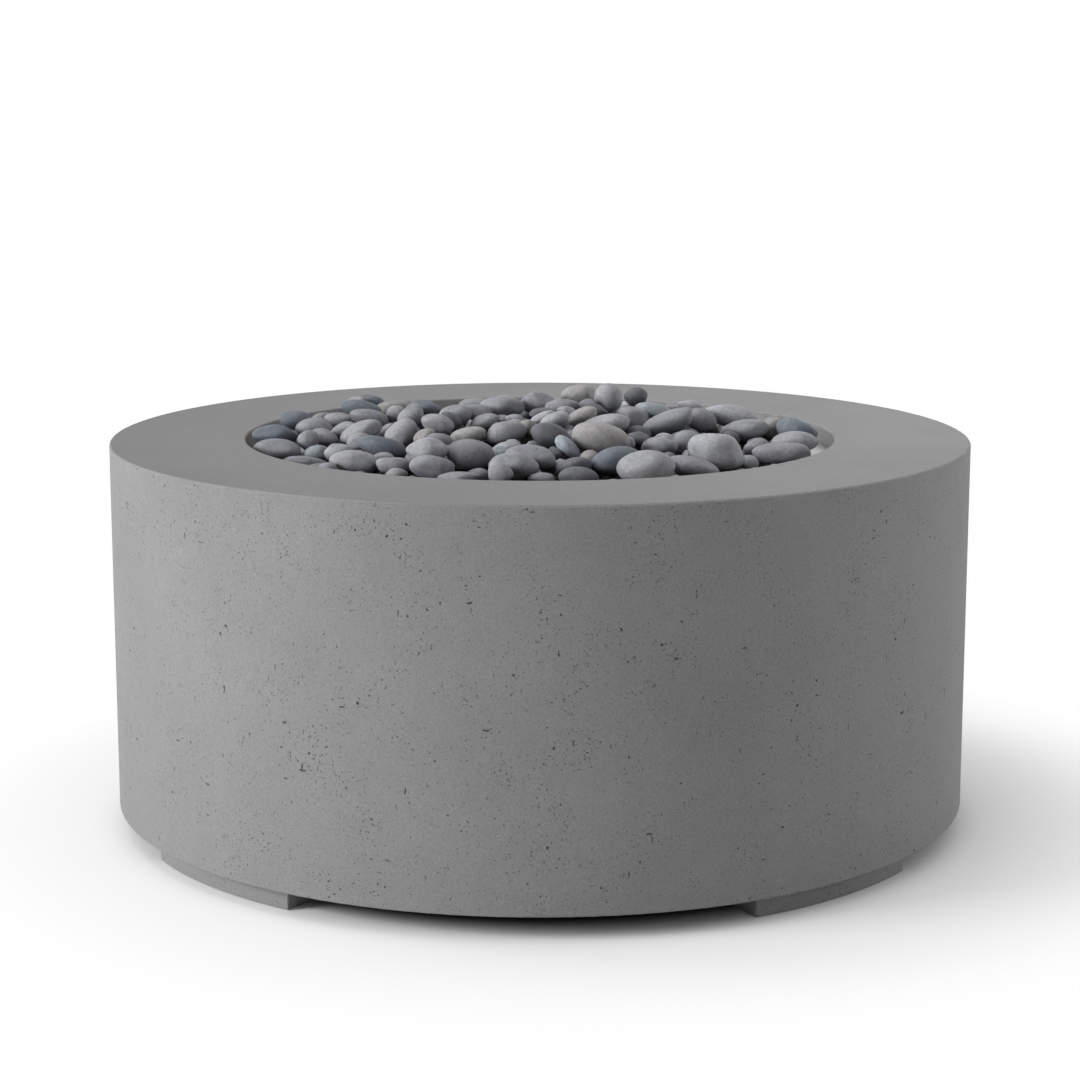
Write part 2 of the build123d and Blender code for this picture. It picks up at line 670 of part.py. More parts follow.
# Gas valve: block, bonnet, turning plug and the stem that pushes and turns it
with BuildPart() as valve_body:
    with BuildSketch(control_plane(valve_back_y, KNOB_X)):
        Rectangle(VALVE_W, VALVE_W)
    extrude(amount=VALVE_L)
    with BuildSketch(control_plane(valve_face_y, KNOB_X)):
        Circle(PLUG_R + RUN_GAP)
    extrude(amount=-(PLUG_L + 2 * PLUG_END_GAP), mode=Mode.SUBTRACT)
    with BuildSketch(control_plane(valve_back_y, KNOB_X)):
        Circle(OUTLET_R)
    extrude(amount=plug_end_y - valve_back_y, mode=Mode.SUBTRACT)
    with BuildSketch(Plane((KNOB_X, port_y, control_z - VALVE_W / 2))):
        Circle(INLET_BORE_R)
    extrude(amount=VALVE_W / 2, mode=Mode.SUBTRACT)
    with BuildSketch(control_plane(valve_face_y, KNOB_X)):
        with GridLocations(bonnet_screws_apart, bonnet_screws_apart, 2, 2):
            Circle(SCREW_R + FIT_GAP)
    extrude(amount=-BONNET_SCREW_L, mode=Mode.SUBTRACT)
keep(valve_body.part, "valve_body")

with BuildPart() as valve_bonnet:
    with BuildSketch(control_plane(valve_face_y, KNOB_X)):
        Rectangle(BONNET_W, BONNET_W)
    extrude(amount=BONNET_T)
    with BuildSketch(control_plane(box_back_y, KNOB_X)):
        Circle(NOSE_R)
    extrude(amount=NOSE_L)
    with BuildSketch(control_plane(valve_face_y, KNOB_X)):
        Circle(stem_hole_r)
    extrude(amount=BONNET_T + NOSE_L, mode=Mode.SUBTRACT)
    with BuildSketch(control_plane(box_back_y, KNOB_X)):
        with GridLocations(bonnet_screws_apart, bonnet_screws_apart, 2, 2):
            Circle(SCREW_HEAD_R + FIT_GAP)
    extrude(amount=-SCREW_HEAD_H, mode=Mode.SUBTRACT)
    with BuildSketch(control_plane(valve_face_y, KNOB_X)):
        with GridLocations(bonnet_screws_apart, bonnet_screws_apart, 2, 2):
            Circle(SCREW_R + FIT_GAP)
    extrude(amount=BONNET_T, mode=Mode.SUBTRACT)
keep(valve_bonnet.part, "valve_bonnet")

with BuildPart() as bonnet_screws:
    with BuildSketch(control_plane(box_back_y, KNOB_X)):
        with GridLocations(bonnet_screws_apart, bonnet_screws_apart, 2, 2):
            Circle(SCREW_HEAD_R)
    extrude(amount=-SCREW_HEAD_H)
    with BuildSketch(control_plane(box_back_y - SCREW_HEAD_H, KNOB_X)):
        with GridLocations(bonnet_screws_apart, bonnet_screws_apart, 2, 2):
            Circle(SCREW_R)
    extrude(amount=-BONNET_SCREW_L)
keep(bonnet_screws.part, "bonnet_screws")

with BuildPart() as valve_plug:
    with BuildSketch(control_plane(plug_end_y, KNOB_X)):
        Circle(PLUG_R)
    extrude(amount=PLUG_L)
    with BuildSketch(control_plane(plug_end_y, KNOB_X)):
        Circle(PLUG_BORE_R)
    extrude(amount=PLUG_BORE_DEPTH, mode=Mode.SUBTRACT)
    with BuildSketch(Plane(origin=(KNOB_X, port_y, control_z), z_dir=(1, 0, 0))):
        Circle(PLUG_PORT_R)
    extrude(amount=PLUG_R, mode=Mode.SUBTRACT)
    with BuildSketch(control_plane(plug_top_y, KNOB_X)):
        Rectangle(STEM_SQUARE + 2 * RUN_GAP, STEM_SQUARE + 2 * RUN_GAP)
    extrude(amount=-SOCKET_DEPTH, mode=Mode.SUBTRACT)
keep(valve_plug.part, "valve_plug")

with BuildPart() as valve_stem:
    with BuildSketch(control_plane(stem_end_y, KNOB_X)):
        Rectangle(STEM_SQUARE, STEM_SQUARE)
    extrude(amount=square_end_y - stem_end_y)
    with BuildSketch(control_plane(square_end_y, KNOB_X)):
        Circle(STEM_R)
    extrude(amount=stem_tip_y - square_end_y)
keep(valve_stem.part, "valve_stem")

with BuildPart() as valve_nut:
    with BuildSketch(control_plane(box_floor_y, KNOB_X)):
        RegularPolygon(PANEL_NUT_AF / 2, 6, major_radius=False)
        Circle(NOSE_R + FIT_GAP, mode=Mode.SUBTRACT)
    extrude(amount=PANEL_NUT_H)
keep(valve_nut.part, "valve_nut")

inlet_top = control_z - VALVE_W / 2
with BuildPart() as gas_inlet:
    with BuildSketch(Plane((KNOB_X, port_y, inlet_top))):
        RegularPolygon(INLET_AF / 2, 6, major_radius=False)
    extrude(amount=-INLET_HEX_H)
    with BuildSketch(Plane((KNOB_X, port_y, inlet_top - INLET_HEX_H))):
        Circle(INLET_R)
    extrude(amount=-INLET_L)
    with BuildSketch(Plane((KNOB_X, port_y, inlet_top))):
        Circle(INLET_BORE_R)
    extrude(amount=-(INLET_HEX_H + INLET_L), mode=Mode.SUBTRACT)
keep(gas_inlet.part, "gas_inlet")

# Control knob: a skirt under a fluted grip with a pointer line
set_screw_y = knob_y + SKIRT_H + (STEM_IN_KNOB - SKIRT_H) / 2
with BuildPart() as control_knob:
    with BuildSketch(control_plane(knob_y, KNOB_X)):
        Circle(SKIRT_R)
    extrude(amount=SKIRT_H)
    with BuildSketch(control_plane(knob_y + SKIRT_H, KNOB_X)):
        Circle(GRIP_R)
    extrude(amount=GRIP_H)
    knob_rounds = control_knob.edges().filter_by(GeomType.CIRCLE).group_by(Axis.Y)
    skirt_round = knob_rounds[1].sort_by(SortBy.RADIUS)[-1]
    fillet(knob_rounds[-1] + [skirt_round], KNOB_EDGE_R)
    with BuildSketch(control_plane(knob_y + SKIRT_H, KNOB_X)):
        with PolarLocations(GRIP_R, FLUTE_COUNT, start_angle=180 / FLUTE_COUNT + 90):
            Circle(FLUTE_R)
    extrude(amount=GRIP_H, mode=Mode.SUBTRACT)
    with BuildSketch(control_plane(knob_y + SKIRT_H + GRIP_H, KNOB_X)):
        with Locations((0, GRIP_R / 2)):
            Rectangle(POINTER_W, GRIP_R)
    extrude(amount=-POINTER_DEPTH, mode=Mode.SUBTRACT)
    with BuildSketch(control_plane(knob_y, KNOB_X)):
        Circle(STEM_R + RUN_GAP)
    extrude(amount=STEM_IN_KNOB, mode=Mode.SUBTRACT)
    with BuildSketch(Plane((KNOB_X, set_screw_y, control_z))):
        Circle(SET_SCREW_R + RUN_GAP)
    extrude(amount=-GRIP_R, mode=Mode.SUBTRACT)
keep(control_knob.part, "control_knob")

with BuildPart() as knob_set_screw:
    with BuildSketch(Plane((KNOB_X, set_screw_y, control_z - STEM_R - RUN_GAP))):
        Circle(SET_SCREW_R)
    extrude(amount=-SET_SCREW_L)
keep(knob_set_screw.part, "knob_set_screw")

# Push-button igniter: body, battery, button and nut
with BuildPart() as igniter_body:
    with BuildSketch(control_plane(igniter_end_y, IGNITER_X)):
        Circle(IGNITER_R)
    extrude(amount=IGNITER_L)
    with BuildSketch(control_plane(box_back_y, IGNITER_X)):
        Circle(IGNITER_NOSE_R)
    extrude(amount=IGNITER_NOSE_L)
    with BuildSketch(control_plane(battery_y, IGNITER_X)):
        Circle(BATTERY_R + FIT_GAP)
    extrude(amount=BATTERY_L, mode=Mode.SUBTRACT)
    with BuildSketch(control_plane(battery_top_y, IGNITER_X)):
        Circle(BUTTON_R + SLIDE_GAP)
    extrude(amount=igniter_nose_y - battery_top_y, mode=Mode.SUBTRACT)
keep(igniter_body.part, "igniter_body")

with BuildPart() as igniter_battery:
    with BuildSketch(control_plane(battery_y, IGNITER_X)):
        Circle(BATTERY_R)
    extrude(amount=BATTERY_L)
keep(igniter_battery.part, "igniter_battery")

with BuildPart() as igniter_button:
    with BuildSketch(control_plane(button_y, IGNITER_X)):
        Circle(BUTTON_R)
    extrude(amount=BUTTON_L)
    fillet(igniter_button.edges().filter_by(GeomType.CIRCLE).sort_by(Axis.Y)[-1], BUTTON_EDGE_R)
keep(igniter_button.part, "igniter_button")

with BuildPart() as igniter_nut:
    with BuildSketch(control_plane(box_floor_y, IGNITER_X)):
        RegularPolygon(IGNITER_NUT_AF / 2, 6, major_radius=False)
        Circle(IGNITER_NOSE_R + FIT_GAP, mode=Mode.SUBTRACT)
    extrude(amount=IGNITER_NUT_H)
keep(igniter_nut.part, "igniter_nut")

# Pilot: bracket on the pan floor, spark electrode, thermocouple and their leads
with BuildPart() as pilot_bracket:
    with BuildSketch(Plane.YZ.offset(KNOB_X - BRACKET_W / 2)):
        with BuildLine():
            Polyline(
                (upright_y, pan_floor),
                (upright_y + BRACKET_BASE_L, pan_floor),
                (upright_y + BRACKET_BASE_L, pan_floor + BRACKET_T),
                (upright_y + BRACKET_T, pan_floor + BRACKET_T),
                (upright_y + BRACKET_T, tab_z),
                (upright_y + BRACKET_T - BRACKET_TAB_L, tab_z),
                (upright_y + BRACKET_T - BRACKET_TAB_L, tab_z - BRACKET_T),
                (upright_y, tab_z - BRACKET_T),
                close=True,
            )
        make_face()
    extrude(amount=BRACKET_W)
    with BuildSketch(Plane.XY.offset(tab_z)):
        with Locations((spark_x, pilot_y)):
            Circle(CERAMIC_R + FIT_GAP)
        with Locations((probe_x, pilot_y)):
            Circle(PROBE_R + FIT_GAP)
    extrude(amount=-BRACKET_T, mode=Mode.SUBTRACT)
    with BuildSketch(Plane.XY.offset(pan_floor)):
        with Locations(*bracket_screw_points):
            Circle(SCREW_R + FIT_GAP)
    extrude(amount=BRACKET_T, mode=Mode.SUBTRACT)
keep(pilot_bracket.part, "pilot_bracket")

with BuildPart() as bracket_screws:
    with BuildSketch(Plane.XY.offset(pan_floor + BRACKET_T)):
        with Locations(*bracket_screw_points):
            Circle(SCREW_HEAD_R)
    extrude(amount=SCREW_HEAD_H)
    with BuildSketch(Plane.XY.offset(pan_floor + BRACKET_T)):
        with Locations(*bracket_screw_points):
            Circle(SCREW_R)
    extrude(amount=-BRACKET_SCREW_L)
keep(bracket_screws.part, "bracket_screws")

with BuildPart() as spark_electrode:
    with BuildSketch(Plane((spark_x, pilot_y, lead_top))):
        Circle(CERAMIC_R)
    extrude(amount=CERAMIC_BELOW + CERAMIC_ABOVE)
    with BuildSketch(Plane((spark_x, pilot_y, tab_z))):
        Circle(COLLAR_R)
    extrude(amount=COLLAR_H)
    with BuildSketch(Plane((spark_x, pilot_y, lead_top))):
        Circle(ROD_R + FIT_GAP)
    extrude(amount=CERAMIC_BELOW + CERAMIC_ABOVE, mode=Mode.SUBTRACT)
keep(spark_electrode.part, "spark_electrode")

with BuildPart() as spark_rod:
    with BuildSketch(Plane((spark_x, pilot_y, lead_top))):
        Circle(ROD_R)
    extrude(amount=CERAMIC_BELOW + CERAMIC_ABOVE + ROD_ABOVE)
keep(spark_rod.part, "spark_rod")

with BuildPart() as thermocouple:
    with BuildSketch(Plane((probe_x, pilot_y, lead_top))):
        Circle(PROBE_R)
    extrude(amount=CERAMIC_BELOW + PROBE_ABOVE)
    with BuildSketch(Plane((probe_x, pilot_y, tab_z))):
        Circle(COLLAR_R)
    extrude(amount=COLLAR_H)
keep(thermocouple.part, "thermocouple")

with BuildPart() as thermocouple_lead:
    with BuildLine() as probe_route:
        FilletPolyline(
            (probe_x, pilot_y, lead_top),
            (probe_x, pilot_y, control_z),
            (probe_x, valve_back_y, control_z),
            radius=LEAD_BEND_R,
        )
    with BuildSketch(Plane(origin=(probe_x, pilot_y, lead_top), z_dir=(0, 0, -1))):
        Circle(LEAD_R)
    sweep(path=probe_route.wires()[0])
keep(thermocouple_lead.part, "thermocouple_lead")

with BuildPart() as spark_lead:
    with BuildLine() as spark_route:
        FilletPolyline(
            (spark_x, pilot_y, lead_top),
            (spark_x, pilot_y, control_z),
            (spark_x, pilot_y + SPARK_TURN_SHARES[0] * lead_run, control_z),
            (IGNITER_X, pilot_y + SPARK_TURN_SHARES[1] * lead_run, control_z),
            (IGNITER_X, igniter_end_y, control_z),
            radius=SPARK_TURN_R,
        )
    with BuildSketch(Plane(origin=(spark_x, pilot_y, lead_top), z_dir=(0, 0, -1))):
        Circle(LEAD_R)
    sweep(path=spark_route.wires()[0])
keep(spark_lead.part, "spark_lead")

with BuildPart() as lead_grommets:
    with BuildSketch(Plane.XY.offset(pan_under - GROMMET_LIP_H)):
        with Locations(*lead_points):
            Circle(GROMMET_LIP_R)
    extrude(amount=GROMMET_LIP_H)
    with BuildSketch(Plane.XY.offset(pan_under)):
        with Locations(*lead_points):
            Circle(GROMMET_NECK_R)
    extrude(amount=PAN_T)
    with BuildSketch(Plane.XY.offset(pan_floor)):
        with Locations(*lead_points):
            Circle(GROMMET_LIP_R)
    extrude(amount=GROMMET_LIP_H)
    with BuildSketch(Plane.XY.offset(pan_under - GROMMET_LIP_H)):
        with Locations(*lead_points):
            Circle(LEAD_R + FIT_GAP)
    extrude(amount=PAN_T + 2 * GROMMET_LIP_H, mode=Mode.SUBTRACT)
keep(lead_grommets.part, "lead_grommets")

with BuildPart() as lead_clips:
    for clip_share in CLIP_SHARES:
        with BuildSketch(control_plane(pilot_y + clip_share * lead_run, KNOB_X)):
            RectangleRounded(CLIP_W, CLIP_H, CLIP_T / 2)
            Circle(PIPE_R + FIT_GAP, mode=Mode.SUBTRACT)
            with Locations((-PROBE_OFFSET, 0), (PROBE_OFFSET, 0)):
                Circle(LEAD_R + FIT_GAP, mode=Mode.SUBTRACT)
        extrude(amount=CLIP_T)
keep(lead_clips.part, "lead_clips")

# Lava rock: fills the pan up to the dome, hollowed where the burner and the pilot stand in it
channel_top = burner_top + CHANNEL_GAP
with BuildPart() as lava_bed:
    with BuildSketch(Plane.XZ):
        with BuildLine():
            dome = ThreePointArc(
                (0, dome_crest_z),
                (bed_r / 2, dome_z(bed_r / 2)),
                (bed_r, dome_z(bed_r)),
            )
            Polyline(dome @ 1, (bed_r, pan_floor), (0, pan_floor), dome @ 0)
        make_face()
    revolve(axis=Axis.Z)
    with BuildSketch(Plane.XY.offset(pan_floor)):
        for ring_r in (OUTER_RING_R, INNER_RING_R):
            Circle(ring_r + TUBE_W / 2 + CHANNEL_GAP)
            Circle(ring_r - TUBE_W / 2 - CHANNEL_GAP, mode=Mode.SUBTRACT)
        for angle in SPOKE_ANGLES:
            Rectangle(2 * OUTER_RING_R, TUBE_W + 2 * CHANNEL_GAP, rotation=angle)
        Circle(max(HUB_R, LOCKNUT_AF / math.sqrt(3)) + CHANNEL_GAP)
        with Locations(*bracket_screw_points):
            Circle(SCREW_HEAD_R + CHANNEL_GAP)
    extrude(amount=channel_top - pan_floor, mode=Mode.SUBTRACT)
    slot_near = min(pilot_y - GROMMET_LIP_R, upright_y + BRACKET_T - BRACKET_TAB_L) - CHANNEL_GAP
    slot_far = upright_y + BRACKET_BASE_L + CHANNEL_GAP
    with BuildSketch(Plane((KNOB_X, (slot_near + slot_far) / 2, pan_floor))):
        Rectangle(BRACKET_W + 2 * CHANNEL_GAP, slot_far - slot_near)
    slot_h = BRACKET_H + max(CERAMIC_ABOVE + ROD_ABOVE, PROBE_ABOVE) + CHANNEL_GAP
    extrude(amount=slot_h, mode=Mode.SUBTRACT)
keep(lava_bed.part, "lava_bed")

# Pebbles: each is an ellipsoid. One that the photograph shows slides away from the eye, along its
# own line of sight, until it rests on the lava, the wall or a pebble that is there before it.
pitch = math.radians(PHOTO_PITCH)
turn = math.radians(PHOTO_TURN_ANGLE)
level_ahead = np.array([-math.sin(turn), math.cos(turn), 0])
eye = -EYE_DISTANCE_SHARE * opening_r * level_ahead
eye[2] = shell_top + EYE_RISE_SHARE * opening_r
ahead = math.cos(pitch) * level_ahead - np.array([0, 0, math.sin(pitch)])
across = np.cross(ahead, (0, 0, 1)) / math.cos(pitch)
upward = np.cross(across, ahead)

mix_shares = np.linspace(0, 1, 21)[1:-1].reshape(-1, 1, 1, 1)
ring_angles = np.radians(np.arange(0, 360, SAMPLE_ANGLE))
band_angles = np.radians(np.arange(SAMPLE_ANGLE, 180, SAMPLE_ANGLE))
bands, rings = np.meshgrid(band_angles, ring_angles, indexing="ij")
sample_directions = np.stack(
    [np.sin(bands) * np.cos(rings), np.sin(bands) * np.sin(rings), np.cos(bands)], axis=-1
).reshape(-1, 3)
pebbles = []
placed_centres = []
placed_shapes = []
placed_reaches = []


def shape_matrix(axes, semi_axes):
    """The ellipsoid's shape: the squares of its semi-axes, turned to its axes."""
    return axes.T @ np.diag(np.square(semi_axes)) @ axes


def is_free(centre, axes, semi_axes):
    """Whether a pebble here, with its gap, touches neither the bowl, the lava nor a placed pebble."""
    shape = shape_matrix(axes, semi_axes + PEBBLE_GAP)
    dome_middle = np.array([0, 0, dome_centre_z])
    outward = centre - dome_middle
    distance = np.linalg.norm(outward)
    outward = outward / distance
    if distance - math.sqrt(outward @ shape @ outward) < dome_r + PEBBLE_GAP:
        return False
    reach = np.sqrt(np.einsum("ni,ij,nj->n", sample_directions, shape, sample_directions))
    surface = centre + sample_directions @ shape / reach[:, None]
    radius = np.hypot(surface[:, 0], surface[:, 1])
    in_pan = surface[:, 2] < pan_flange_top + PEBBLE_GAP
    if np.any(radius > np.where(in_pan, pan_inner_r, opening_r) - PEBBLE_GAP):
        return False
    if not pebbles:
        return True
    apart = np.array(placed_centres) - centre
    near = np.linalg.norm(apart, axis=1) < np.array(placed_reaches) + max(semi_axes) + PEBBLE_GAP
    if not near.any():
        return True
    apart = apart[near]
    mixed = (1 - mix_shares) * shape + mix_shares * np.array(placed_shapes)[near]
    columns = np.broadcast_to(apart[:, :, None], mixed.shape[:2] + (3, 1))
    solved = np.linalg.solve(mixed, columns)[..., 0]
    weights = (mix_shares * (1 - mix_shares))[:, :, 0, 0]
    contact = weights * np.einsum("lni,ni->ln", solved, apart)
    return contact.max(axis=0).min() > 1


def settle(pose, start, end, steps):
    """Move a pebble from start towards end and return the last free place before it first touches."""
    step = (end - start) / steps
    last_free = None
    for count in range(steps + 1):
        if is_free(*pose(start + count * step)):
            last_free = start + count * step
        elif last_free is not None:
            break
    if last_free is None:
        return None
    for _ in range(HALVING_COUNT):
        step = step / 2
        if is_free(*pose(last_free + step)):
            last_free += step
    return pose(last_free)


def place(found):
    """Keep a pebble that has found its place."""
    if found is None:
        return
    centre, axes, semi_axes = found
    pebbles.append(found)
    placed_centres.append(centre)
    placed_shapes.append(shape_matrix(axes, semi_axes + PEBBLE_GAP))
    placed_reaches.append(max(semi_axes) + PEBBLE_GAP)


def seen_pebble(across_px, down_px, half_length_px, half_height_px, roll):
    """The pose of a photographed pebble at a distance along its line of sight."""
    sight = ahead + across * (across_px - PHOTO_CENTRE_PX) / PHOTO_FOCAL_PX
    sight = sight - upward * (down_px - PHOTO_CENTRE_PX) / PHOTO_FOCAL_PX
    sight = sight / np.linalg.norm(sight)
    level = np.cross(sight, (0, 0, 1))
    level = level / np.linalg.norm(level)
    raised = np.cross(level, sight)
    lean = math.radians(roll)
    long_axis = math.cos(lean) * level + math.sin(lean) * raised
    axes = np.array([long_axis, np.cross(sight, long_axis), sight])
    sizes_px = np.array([half_length_px, half_height_px, (half_length_px + half_height_px) / 2])
    return lambda distance: (eye + sight * distance, axes, sizes_px * distance / PHOTO_FOCAL_PX)


def fill_pebble(x, y, semi_axes, lean):
    """The pose of a filling pebble at a height, lying flat on the dome."""
    up = np.array([x, y, dome_z(math.hypot(x, y)) - dome_centre_z]) / dome_r
    along = np.cross(up, (math.cos(lean), math.sin(lean), 0))
    along = along / np.linalg.norm(along)
    axes = np.array([along, np.cross(up, along), up])
    return lambda height: (np.array([x, y, height]), axes, semi_axes)


def fill(size_shares, from_y, round_share):
    """Drop filling pebbles, spread evenly from the middle out, where they rest near the lava."""
    spread = FILL_SPREAD_SHARE * opening_r
    for count in range(1, int((pan_inner_r / spread) ** 2)):
        x, y = polar(spread * math.sqrt(count + round_share), (count + round_share) * GOLDEN_ANGLE)
        if y < from_y:
            continue
        semi_axes = np.array(size_shares[count % len(size_shares)]) * opening_r
        ground = dome_z(math.hypot(x, y))
        thick = semi_axes[2]
        pose = fill_pebble(x, y, semi_axes, math.radians(count * FILL_TURN_ANGLE))
        lowest = settle(pose, ground + DROP_SHARE * thick, ground, DROP_STEP_COUNT)
        if lowest is not None and lowest[0][2] < ground + REST_SHARE * thick:
            place(lowest)


near_distance = (EYE_DISTANCE_SHARE - SLIDE_NEAR_SHARE) * opening_r
far_distance = (EYE_DISTANCE_SHARE + SLIDE_FAR_SHARE) * opening_r
fill(LARGE_FILL_SHARES, BACK_FILL_SHARE * opening_r, 0)
for seen in PEBBLES_PX:
    place(settle(seen_pebble(*seen), near_distance, far_distance, SLIDE_STEP_COUNT))
for fill_round_share in FILL_ROUND_SHARES:
    fill(SMALL_FILL_SHARES, -opening_r, fill_round_share)

ball = Sphere(1, mode=Mode.PRIVATE)
quarters = {
    "pebbles_front_left": [],
    "pebbles_front_right": [],
    "pebbles_rear_left": [],
    "pebbles_rear_right": [],
}
for centre, axes, semi_axes in pebbles:
    lies = Plane(origin=tuple(centre), x_dir=tuple(axes[0]), z_dir=tuple(np.cross(axes[0], axes[1])))
    end = "front" if centre[1] < 0 else "rear"
    hand = "left" if centre[0] < 0 else "right"
    pebble = lies.location * scale(ball, by=tuple(semi_axes))
    quarters[f"pebbles_{end}_{hand}"].append(pebble)
for quarter_name, quarter_pebbles in quarters.items():
    with BuildPart() as pebble_quarter:
        add(quarter_pebbles)
    keep(pebble_quarter.part, quarter_name)
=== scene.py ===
import json
import math

import bmesh
import bpy
import numpy as np
from bpy.props import FloatProperty, FloatVectorProperty, IntProperty, PointerProperty
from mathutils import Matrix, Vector


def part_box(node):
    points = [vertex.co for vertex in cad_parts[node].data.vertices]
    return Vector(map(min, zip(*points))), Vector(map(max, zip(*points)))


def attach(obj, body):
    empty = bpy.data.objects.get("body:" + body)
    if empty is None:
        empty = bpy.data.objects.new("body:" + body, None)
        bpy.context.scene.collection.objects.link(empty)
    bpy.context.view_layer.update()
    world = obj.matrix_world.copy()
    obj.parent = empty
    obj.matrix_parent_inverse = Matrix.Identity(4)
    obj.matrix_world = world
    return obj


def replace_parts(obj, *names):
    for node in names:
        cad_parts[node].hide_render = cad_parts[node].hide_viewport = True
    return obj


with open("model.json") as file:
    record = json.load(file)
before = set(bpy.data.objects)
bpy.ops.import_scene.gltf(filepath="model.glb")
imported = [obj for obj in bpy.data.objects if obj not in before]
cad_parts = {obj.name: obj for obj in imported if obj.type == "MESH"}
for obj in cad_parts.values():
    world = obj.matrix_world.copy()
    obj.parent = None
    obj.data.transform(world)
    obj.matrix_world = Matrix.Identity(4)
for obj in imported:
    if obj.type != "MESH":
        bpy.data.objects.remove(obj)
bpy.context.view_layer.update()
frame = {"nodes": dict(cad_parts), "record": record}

bl_info = {
    "name": "Concrete fire bowl",
    "version": (1, 0, 0),
    "blender": (4, 5, 0),
    "location": "3D View > Sidebar > Fire bowl",
    "description": "Finishes and fine detail for a cast concrete gas fire bowl heaped with river stones",
    "category": "Object",
}

MM = 0.001
SHELL_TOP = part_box("concrete_shell")[1].z
SLOT_OF = {part["node"]: part["material_slot"] for part in frame["record"]["subparts"]}
MOUNTS = {mount["name"]: mount for mount in frame["record"]["mounts"]}

# The photograph's width in pixels, and its camera's sensor in millimetres
IMAGE_PX = 1080
SENSOR = 36.0

# Noise seldom leaves the middle of 0 to 1, so a pattern is stretched from this span of it
MID_SPAN = {"From Min": 0.3, "From Max": 0.7}

STONE_NODES = ("pebbles_front_left", "pebbles_front_right", "pebbles_rear_left", "pebbles_rear_right")
# Fewer stones than this means that the CAD stones were not told apart
FEWEST_STONES = 100
# Cuts along each edge of the cube that a stone is rounded from
STONE_CUTS = 13

# Which kind of rock lies where the photograph shows a stone, by its place in that picture in pixels.
# A stone with no place here takes a kind by chance.
STONE_PLACES = {
    "slate": [
        (296, 420), (275, 436), (382, 448), (425, 409), (615, 461), (796, 431), (371, 403), (361, 410),
    ],
    "pale_slate": [(317, 454), (567, 448), (654, 412)],
    "pale": [
        (338, 420), (396, 413), (345, 431), (361, 431), (359, 442), (340, 453), (354, 464), (328, 468),
        (383, 459), (397, 474), (411, 416), (401, 435), (386, 432), (437, 424), (484, 423), (503, 420),
        (515, 421), (431, 449), (507, 449), (543, 418), (554, 421), (566, 412), (605, 425), (608, 397),
        (646, 467), (673, 409), (690, 407), (731, 415), (743, 431), (716, 451), (795, 444),
    ],
    "sand": [
        (393, 407), (468, 436), (578, 395), (602, 440), (772, 428), (528, 428), (583, 419), (425, 437),
    ],
    "dark": [
        (449, 422), (551, 437), (542, 413), (598, 410), (573, 468), (638, 440), (730, 438), (636, 397),
        (578, 476),
    ],
    "mid": [
        (278, 451), (314, 429), (308, 440), (324, 440), (323, 419), (370, 418), (305, 463), (394, 466),
        (477, 411), (502, 408), (506, 432), (470, 454), (432, 467), (459, 479), (479, 475), (530, 459),
        (514, 466), (501, 473), (541, 480), (562, 406), (632, 419), (667, 423), (702, 420), (659, 447),
        (685, 443), (692, 466), (780, 454), (757, 447), (539, 402), (588, 406), (455, 416),
    ],
}
STONE_CHANCES = {"pale": 0.34, "mid": 0.34, "slate": 0.1, "pale_slate": 0.08, "dark": 0.06, "sand": 0.08}
# A stone has a listed place if it is this near to it, in pixels. Of two such stones, one that lies a
# metre further off counts as this many pixels further away.
PLACE_REACH = 9
PLACE_DEPTH = 20


def linear(code):
    """An sRGB hex colour as the linear colour that a shader takes."""
    shares = [int(code[i:i + 2], 16) / 255 for i in (1, 3, 5)]
    return tuple(s / 12.92 if s <= 0.04045 else ((s + 0.055) / 1.055) ** 2.4 for s in shares) + (1.0,)


def wire(tree, node, inputs):
    """Link or set each named input of a node."""
    for name, value in inputs.items():
        if isinstance(value, bpy.types.NodeSocket):
            tree.links.new(value, node.inputs[name])
        else:
            node.inputs[name].default_value = value


def add_node(tree, kind, inputs=None, **settings):
    """Add a node, give it its settings, and link or set its inputs."""
    made = tree.nodes.new(kind)
    for name, value in settings.items():
        setattr(made, name, value)
    wire(tree, made, inputs or {})
    return made


def new_material(name):
    """An empty material, its tree, its shader and the object's own coordinates."""
    material = bpy.data.materials.new(name)
    material.use_nodes = True
    tree = material.node_tree
    tree.nodes.clear()
    shader = add_node(tree, "ShaderNodeBsdfPrincipled")
    add_node(tree, "ShaderNodeOutputMaterial", {"Surface": shader.outputs[0]})
    place = add_node(tree, "ShaderNodeTexCoord").outputs["Object"]
    return material, tree, shader, place


def relief(tree, strength, *layers):
    """The surface's bump from several patterns, each with its own height in metres."""
    rise = 0.0
    for pattern, height in layers:
        rise = add_node(tree, "ShaderNodeMath", {0: pattern, 1: height, 2: rise},
                        operation="MULTIPLY_ADD").outputs[0]
    bump = add_node(tree, "ShaderNodeBump", {"Height": rise, "Strength": strength, "Distance": 1.0})
    return bump.outputs[0]


def new_piece(name, mesh, material, body="bowl"):
    """A finished mesh as a piece that rides on a body."""
    piece = bpy.data.objects.new(name, mesh)
    bpy.context.scene.collection.objects.link(piece)
    mesh.materials.clear()
    mesh.materials.append(material)
    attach(piece, body)
    return piece


def dress(material, *nodes):
    """Give CAD nodes their finish."""
    for name in nodes:
        frame["nodes"][name].material_slots[0].material = material


def new_tree(name, **inputs):
    """A geometry node tree with its named inputs, and the sockets that bring them in."""
    tree = bpy.data.node_groups.new(name, "GeometryNodeTree")
    tree.interface.new_socket("Geometry", in_out="INPUT", socket_type="NodeSocketGeometry")
    for label, kind in inputs.items():
        tree.interface.new_socket(label, in_out="INPUT", socket_type="NodeSocket" + kind)
    tree.interface.new_socket("Geometry", in_out="OUTPUT", socket_type="NodeSocketGeometry")
    return tree, add_node(tree, "NodeGroupInput").outputs


